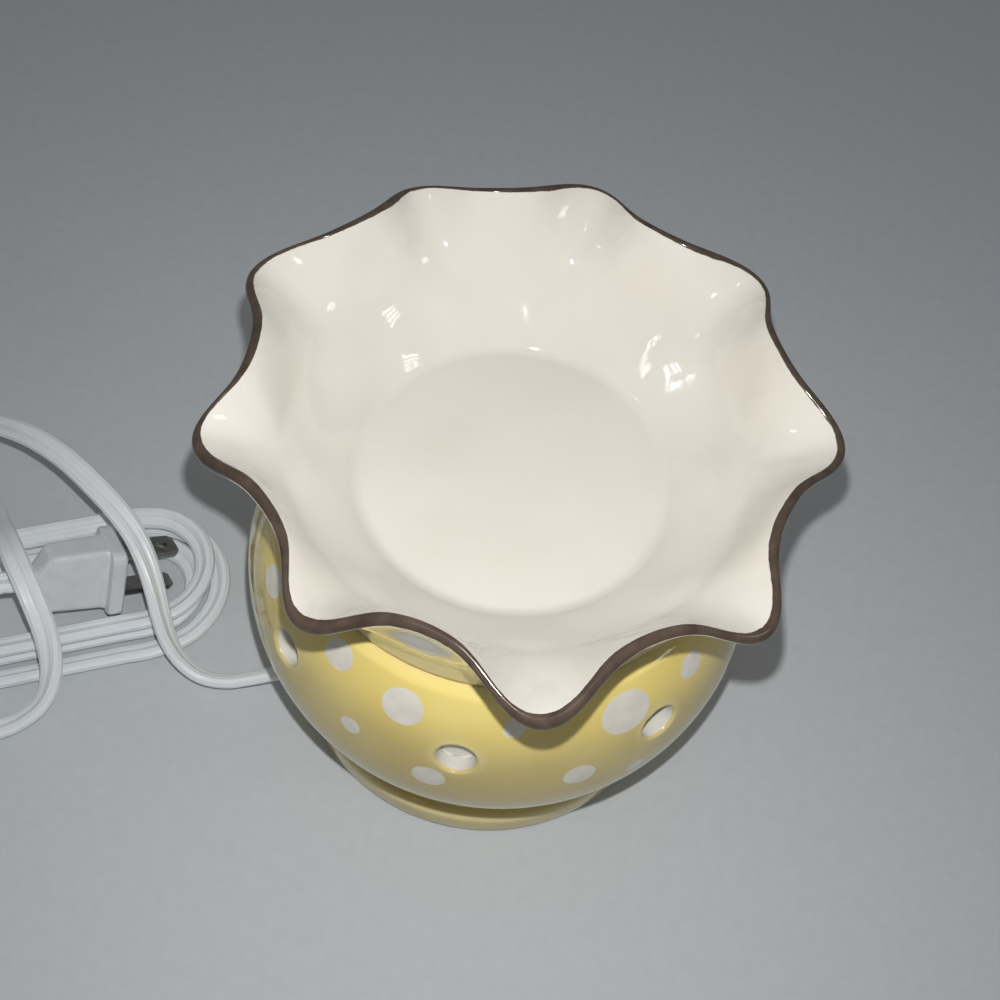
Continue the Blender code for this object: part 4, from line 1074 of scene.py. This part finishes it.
def rim_knots():
    """Angle in degrees and radius of each tip and notch in turn, a little more than once round."""
    knots = []
    for k in range(-1, LOBES + 1):
        n = k % LOBES
        knots.append((k * LOBE_STEP + TIP_TURNS[n], TIP_R + TIP_OUT[n]))
        knots.append(((k + 0.5) * LOBE_STEP + NOTCH_TURNS[n], NOTCH_R + NOTCH_OUT[n]))
    return knots


def ruffle(angle):
    """How much of a tip the rim is at one angle, 1 to 0 in a notch, and its (radius, z) there."""
    knots = rim_knots()
    degrees = math.degrees(angle)
    n = max(i for i, knot in enumerate(knots) if knot[0] <= degrees)
    share = (degrees - knots[n][0]) / (knots[n + 1][0] - knots[n][0])
    fade = 0.5 + 0.5 * math.cos(math.pi * share)
    on_tip = n % 2 == 0
    w = fade if on_tip else 1.0 - fade
    w -= TIP_SHARP * math.sin(math.pi * w)
    tip, notch = knots[n if on_tip else n + 1][1], knots[n + 1 if on_tip else n][1]
    return w, (notch + (tip - notch) * w, NOTCH_Z + (TIP_Z - NOTCH_Z) * w)


def heading(rise, reach):
    """A (radius, z) step of the given reach climbing at an angle in degrees."""
    return (reach * math.cos(math.radians(rise)), reach * math.sin(math.radians(rise)))


def bowl_curve(angle):
    """Inside of the bowl at one angle, from the floor round its edge and up towards the shoulder."""
    w = ruffle(angle)[0]
    edge = arc((DISH_FLOOR_R, DISH_FLOOR_Z + DISH_FLOOR_ROUND), DISH_FLOOR_ROUND, -90, BOWL_RISE - 90, 9)
    reach = math.hypot(SHOULDER_R - edge[-1][0], SHOULDER_Z - edge[-1][1])
    arrive = heading(between(SHOULDER_RISE, w), reach)
    wall = hermite(edge[-1], (SHOULDER_R, SHOULDER_Z), heading(BOWL_RISE, reach), arrive, 20)
    return edge + wall[1:-1]


def brim_curve(angle):
    """Inner face of the brim at one angle, from the shoulder out to the rim."""
    w, end = ruffle(angle)
    reach = math.hypot(end[0] - SHOULDER_R, end[1] - SHOULDER_Z)
    leave = heading(between(SHOULDER_RISE, w), reach)
    arrive = heading(between(RIM_RISE, w), reach)
    return np.array(hermite((SHOULDER_R, SHOULDER_Z), end, leave, arrive, BRIM_ROWS))


def offset_curve(curve, thickness):
    """A curve moved aside by a thickness at each of its points."""
    run = np.gradient(curve, axis=0)
    run /= np.linalg.norm(run, axis=1)[:, None]
    return curve + np.stack([run[:, 1], -run[:, 0]], axis=1) * np.asarray(thickness)[:, None]


def off_tip(angle):
    """Degrees from an angle to the middle of the nearest tip."""
    return min(abs(math.degrees(angle) - knot[0]) for knot in rim_knots()[::2])


def shape_inside(curve, at, angle):
    """Sink a shallow line into the inner face at the shoulder, and a crease up the middle of each tip."""
    reach = reach_along(curve)
    depth = between(SHOULDER_DIP, ruffle(angle)[0])
    line = depth * np.exp(-((reach - reach[at]) / SHOULDER_DIP_REACH) ** 2)
    share = np.clip((reach - reach[at]) / (reach[-1] - reach[at]), 0.0, 1.0)
    crease = CREASE_DIP * math.exp(-((off_tip(angle) / CREASE_SPAN) ** 2)) * np.sin(math.pi * share)
    return offset_curve(curve, line + crease)


def rim_round(inner_end, outer_end, lead, count=13):
    """Half ellipse that closes the rim from the inner to the outer face."""
    middle = (inner_end + outer_end) / 2
    half = (inner_end - outer_end) / 2
    ahead = lead * np.array([half[1], -half[0]])
    turns = np.linspace(0.0, math.pi, count)[1:-1]
    return [middle + math.cos(t) * half + math.sin(t) * ahead for t in turns]


def under_rows():
    """(radius, z) below the dish: its underside, the spigot and the edge of the seat ring."""
    spigot_in = DISH_SPIGOT_R - DISH_SPIGOT_T
    rows = [(r, DISH_UNDER_Z) for r in DISH_UNDER_R]
    rows += arc((spigot_in - EDGE, DISH_UNDER_Z - EDGE), EDGE, 90, 0, 5)
    rows += [(spigot_in, DISH_SPIGOT_Z + SPIGOT_EDGE), (spigot_in + SPIGOT_EDGE, DISH_SPIGOT_Z)]
    rows += [(DISH_SPIGOT_R - SPIGOT_EDGE, DISH_SPIGOT_Z), (DISH_SPIGOT_R, DISH_SPIGOT_Z + SPIGOT_EDGE)]
    rows += [(DISH_SPIGOT_R, DISH_REST_Z - REST_FILLET), (DISH_SPIGOT_R + REST_FILLET, DISH_REST_Z)]
    return rows + arc((DISH_REST_R - REST_EDGE, DISH_REST_Z + REST_EDGE), REST_EDGE, -90, 0, 6)


def outside_rows(start, outer):
    """(radius, z) of the dish's outside from the seat ring up to where the brim's outer face begins."""
    rise = SHOULDER_Z - SEAT_Z
    line = [start]
    line += [(between((DISH_REST_R, WALL_OUT_R), s), SEAT_Z + t * rise) for s, t in WALL_OUT_AT]
    line += [tuple(outer[0]), tuple(outer[WALL_INTO_BRIM])]
    wall = smooth_route(line, WALL_STEP)
    reach = reach_along(wall)
    stop = reach[int(np.argmin(np.linalg.norm(wall - outer[0], axis=1)))]
    return point_at(wall, reach, np.linspace(0.0, stop, WALL_ROWS))[1:-1]


def dish_profile(angle):
    """Half outline at one angle from the axis below to the axis above, and each point's place on the rim.

    The place is 0 at the rim's crest, 1 at its outer and about -1 at its inner corner."""
    lagging = ruffle(angle - RIM_LAG)[0]
    inner = brim_curve(angle)
    outer = offset_curve(inner, np.linspace(SHOULDER_T, between(BRIM_T, lagging), BRIM_ROWS))
    rim = rim_round(inner[-1], outer[-1], between(RIM_LEAD, lagging))
    bowl = bowl_curve(angle)
    inside = shape_inside(np.vstack([bowl, inner]), len(bowl), angle)
    under = under_rows()
    front = np.vstack([under, outside_rows(under[-1], outer), outer])
    floor = [(r, DISH_FLOOR_Z) for r in DISH_FLOOR_ROWS_R]
    profile = np.vstack([front, rim[::-1], inside[::-1], floor])
    reach = reach_along(profile)
    crest = reach[len(front) + len(rim) // 2]
    return profile, (crest - reach) / (crest - reach[len(front) - 1])


def build_dish(looks):
    turns = 2 * math.pi * np.arange(DISH_COLUMNS) / DISH_COLUMNS
    made = [dish_profile(a) for a in turns]
    radius, height = np.stack([profile.T for profile, place in made], axis=-1)
    verts, faces = skin(np.stack([radius * np.cos(turns), radius * np.sin(turns), height], axis=-1))
    dish = make_piece("dish_ceramic", verts, faces, looks["dish_glaze"], "dish")
    store(dish, "rim_place", np.stack([place for profile, place in made], axis=-1))
    outside = radius > DISH_SPIGOT_R + SEAM_IN
    # Painted reflection of the yellow globe: full at the seat, gone at the top height.
    painted_reflection = (PAINTED_REFLECTION_TOP_Z - height) / (PAINTED_REFLECTION_TOP_Z - DISH_REST_Z)
    # Bare foot edge and painted crevice shade, low on the outside at the seat.
    store(dish, "seam_and_shade", outside * (height < DISH_REST_Z + SEAM_H))
    store(dish, "painted_reflection", outside * np.clip(painted_reflection, 0.0, 1.0))
    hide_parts("wax_dish")


# Floor and light, in metres
FLOOR_HALF = 2.0
FLOOR_LOOK = ((0.585, 0.612, 0.632), (0.615, 0.642, 0.662), (0.75, 0.85), 260, 0.1)
SKY = (0.96, 0.98, 1.0)
SKY_STRENGTH = 0.17
KEY_AT = (-0.0030, -0.1236, 0.310)
KEY_AIM = (0.0, 0.0, 0.08)
KEY_SIZE = 0.004
KEY_WATTS = 0.52
DISH_MIDDLE = Vector((0.0, 0.0, 0.108))
WINDOW_AWAY = 1.2
SLAT_SHARE = 0.62
# Azimuth and rise in degrees, width, height, watts and slats
WINDOWS = {
    "window_right": (-15.0, 32.0, 0.16, 0.20, 0.36, 4),
    "window_left": (-164.0, 34.0, 0.07, 0.11, 0.106, 3),
    "ceiling": (-122.0, 70.0, 0.06, 0.07, 0.08, 2),
}


def build_floor():
    half = FLOOR_HALF / MM
    verts = [(-half, -half, 0), (half, -half, 0), (half, half, 0), (-half, half, 0)]
    floor = make_piece("floor", verts, [(0, 1, 2, 3)], plain_look("floor_look", *FLOOR_LOOK), None)


def area_light(name, place, aim, width, height, watts):
    data = bpy.data.lights.new(name, "AREA")
    data.energy = watts
    data.shape = "RECTANGLE"
    data.size = width
    data.size_y = height
    obj = bpy.data.objects.new(name, data)
    bpy.context.scene.collection.objects.link(obj)
    facing = (Vector(place) - Vector(aim)).to_track_quat("Z", "Y")
    obj.matrix_world = Matrix.Translation(place) @ facing.to_matrix().to_4x4()


def window(name, azimuth, rise, width, height, watts, slats):
    """A slatted window: level strips of light side by side, turned to the dish."""
    turn, tilt = math.radians(azimuth), math.radians(rise)
    out = Vector((math.cos(turn) * math.cos(tilt), math.sin(turn) * math.cos(tilt), math.sin(tilt)))
    across = Vector((-math.sin(turn), math.cos(turn), 0.0))
    up = out.cross(across)
    pitch = height / slats
    for k in range(slats):
        place = DISH_MIDDLE + out * WINDOW_AWAY + up * (pitch * (k + 0.5) - height / 2)
        area_light("%s_%d" % (name, k + 1), place, DISH_MIDDLE, width, SLAT_SHARE * pitch, watts / slats)


def set_light():
    world = bpy.data.worlds.new("world")
    world.use_nodes = True
    back = world.node_tree.nodes["Background"]
    back.inputs["Color"].default_value = rgb(*SKY)
    back.inputs["Strength"].default_value = SKY_STRENGTH
    bpy.context.scene.world = world
    area_light("key", KEY_AT, KEY_AIM, KEY_SIZE, KEY_SIZE, KEY_WATTS)
    for name, made in WINDOWS.items():
        window(name, *made)
    bpy.context.scene.view_settings.view_transform = "Standard"


def main():
    set_camera()
    looks = make_looks()
    build_cord(looks)
    build_body(looks)
    build_dish(looks)
    dress_nodes(looks)
    build_floor()
    set_light()


main()
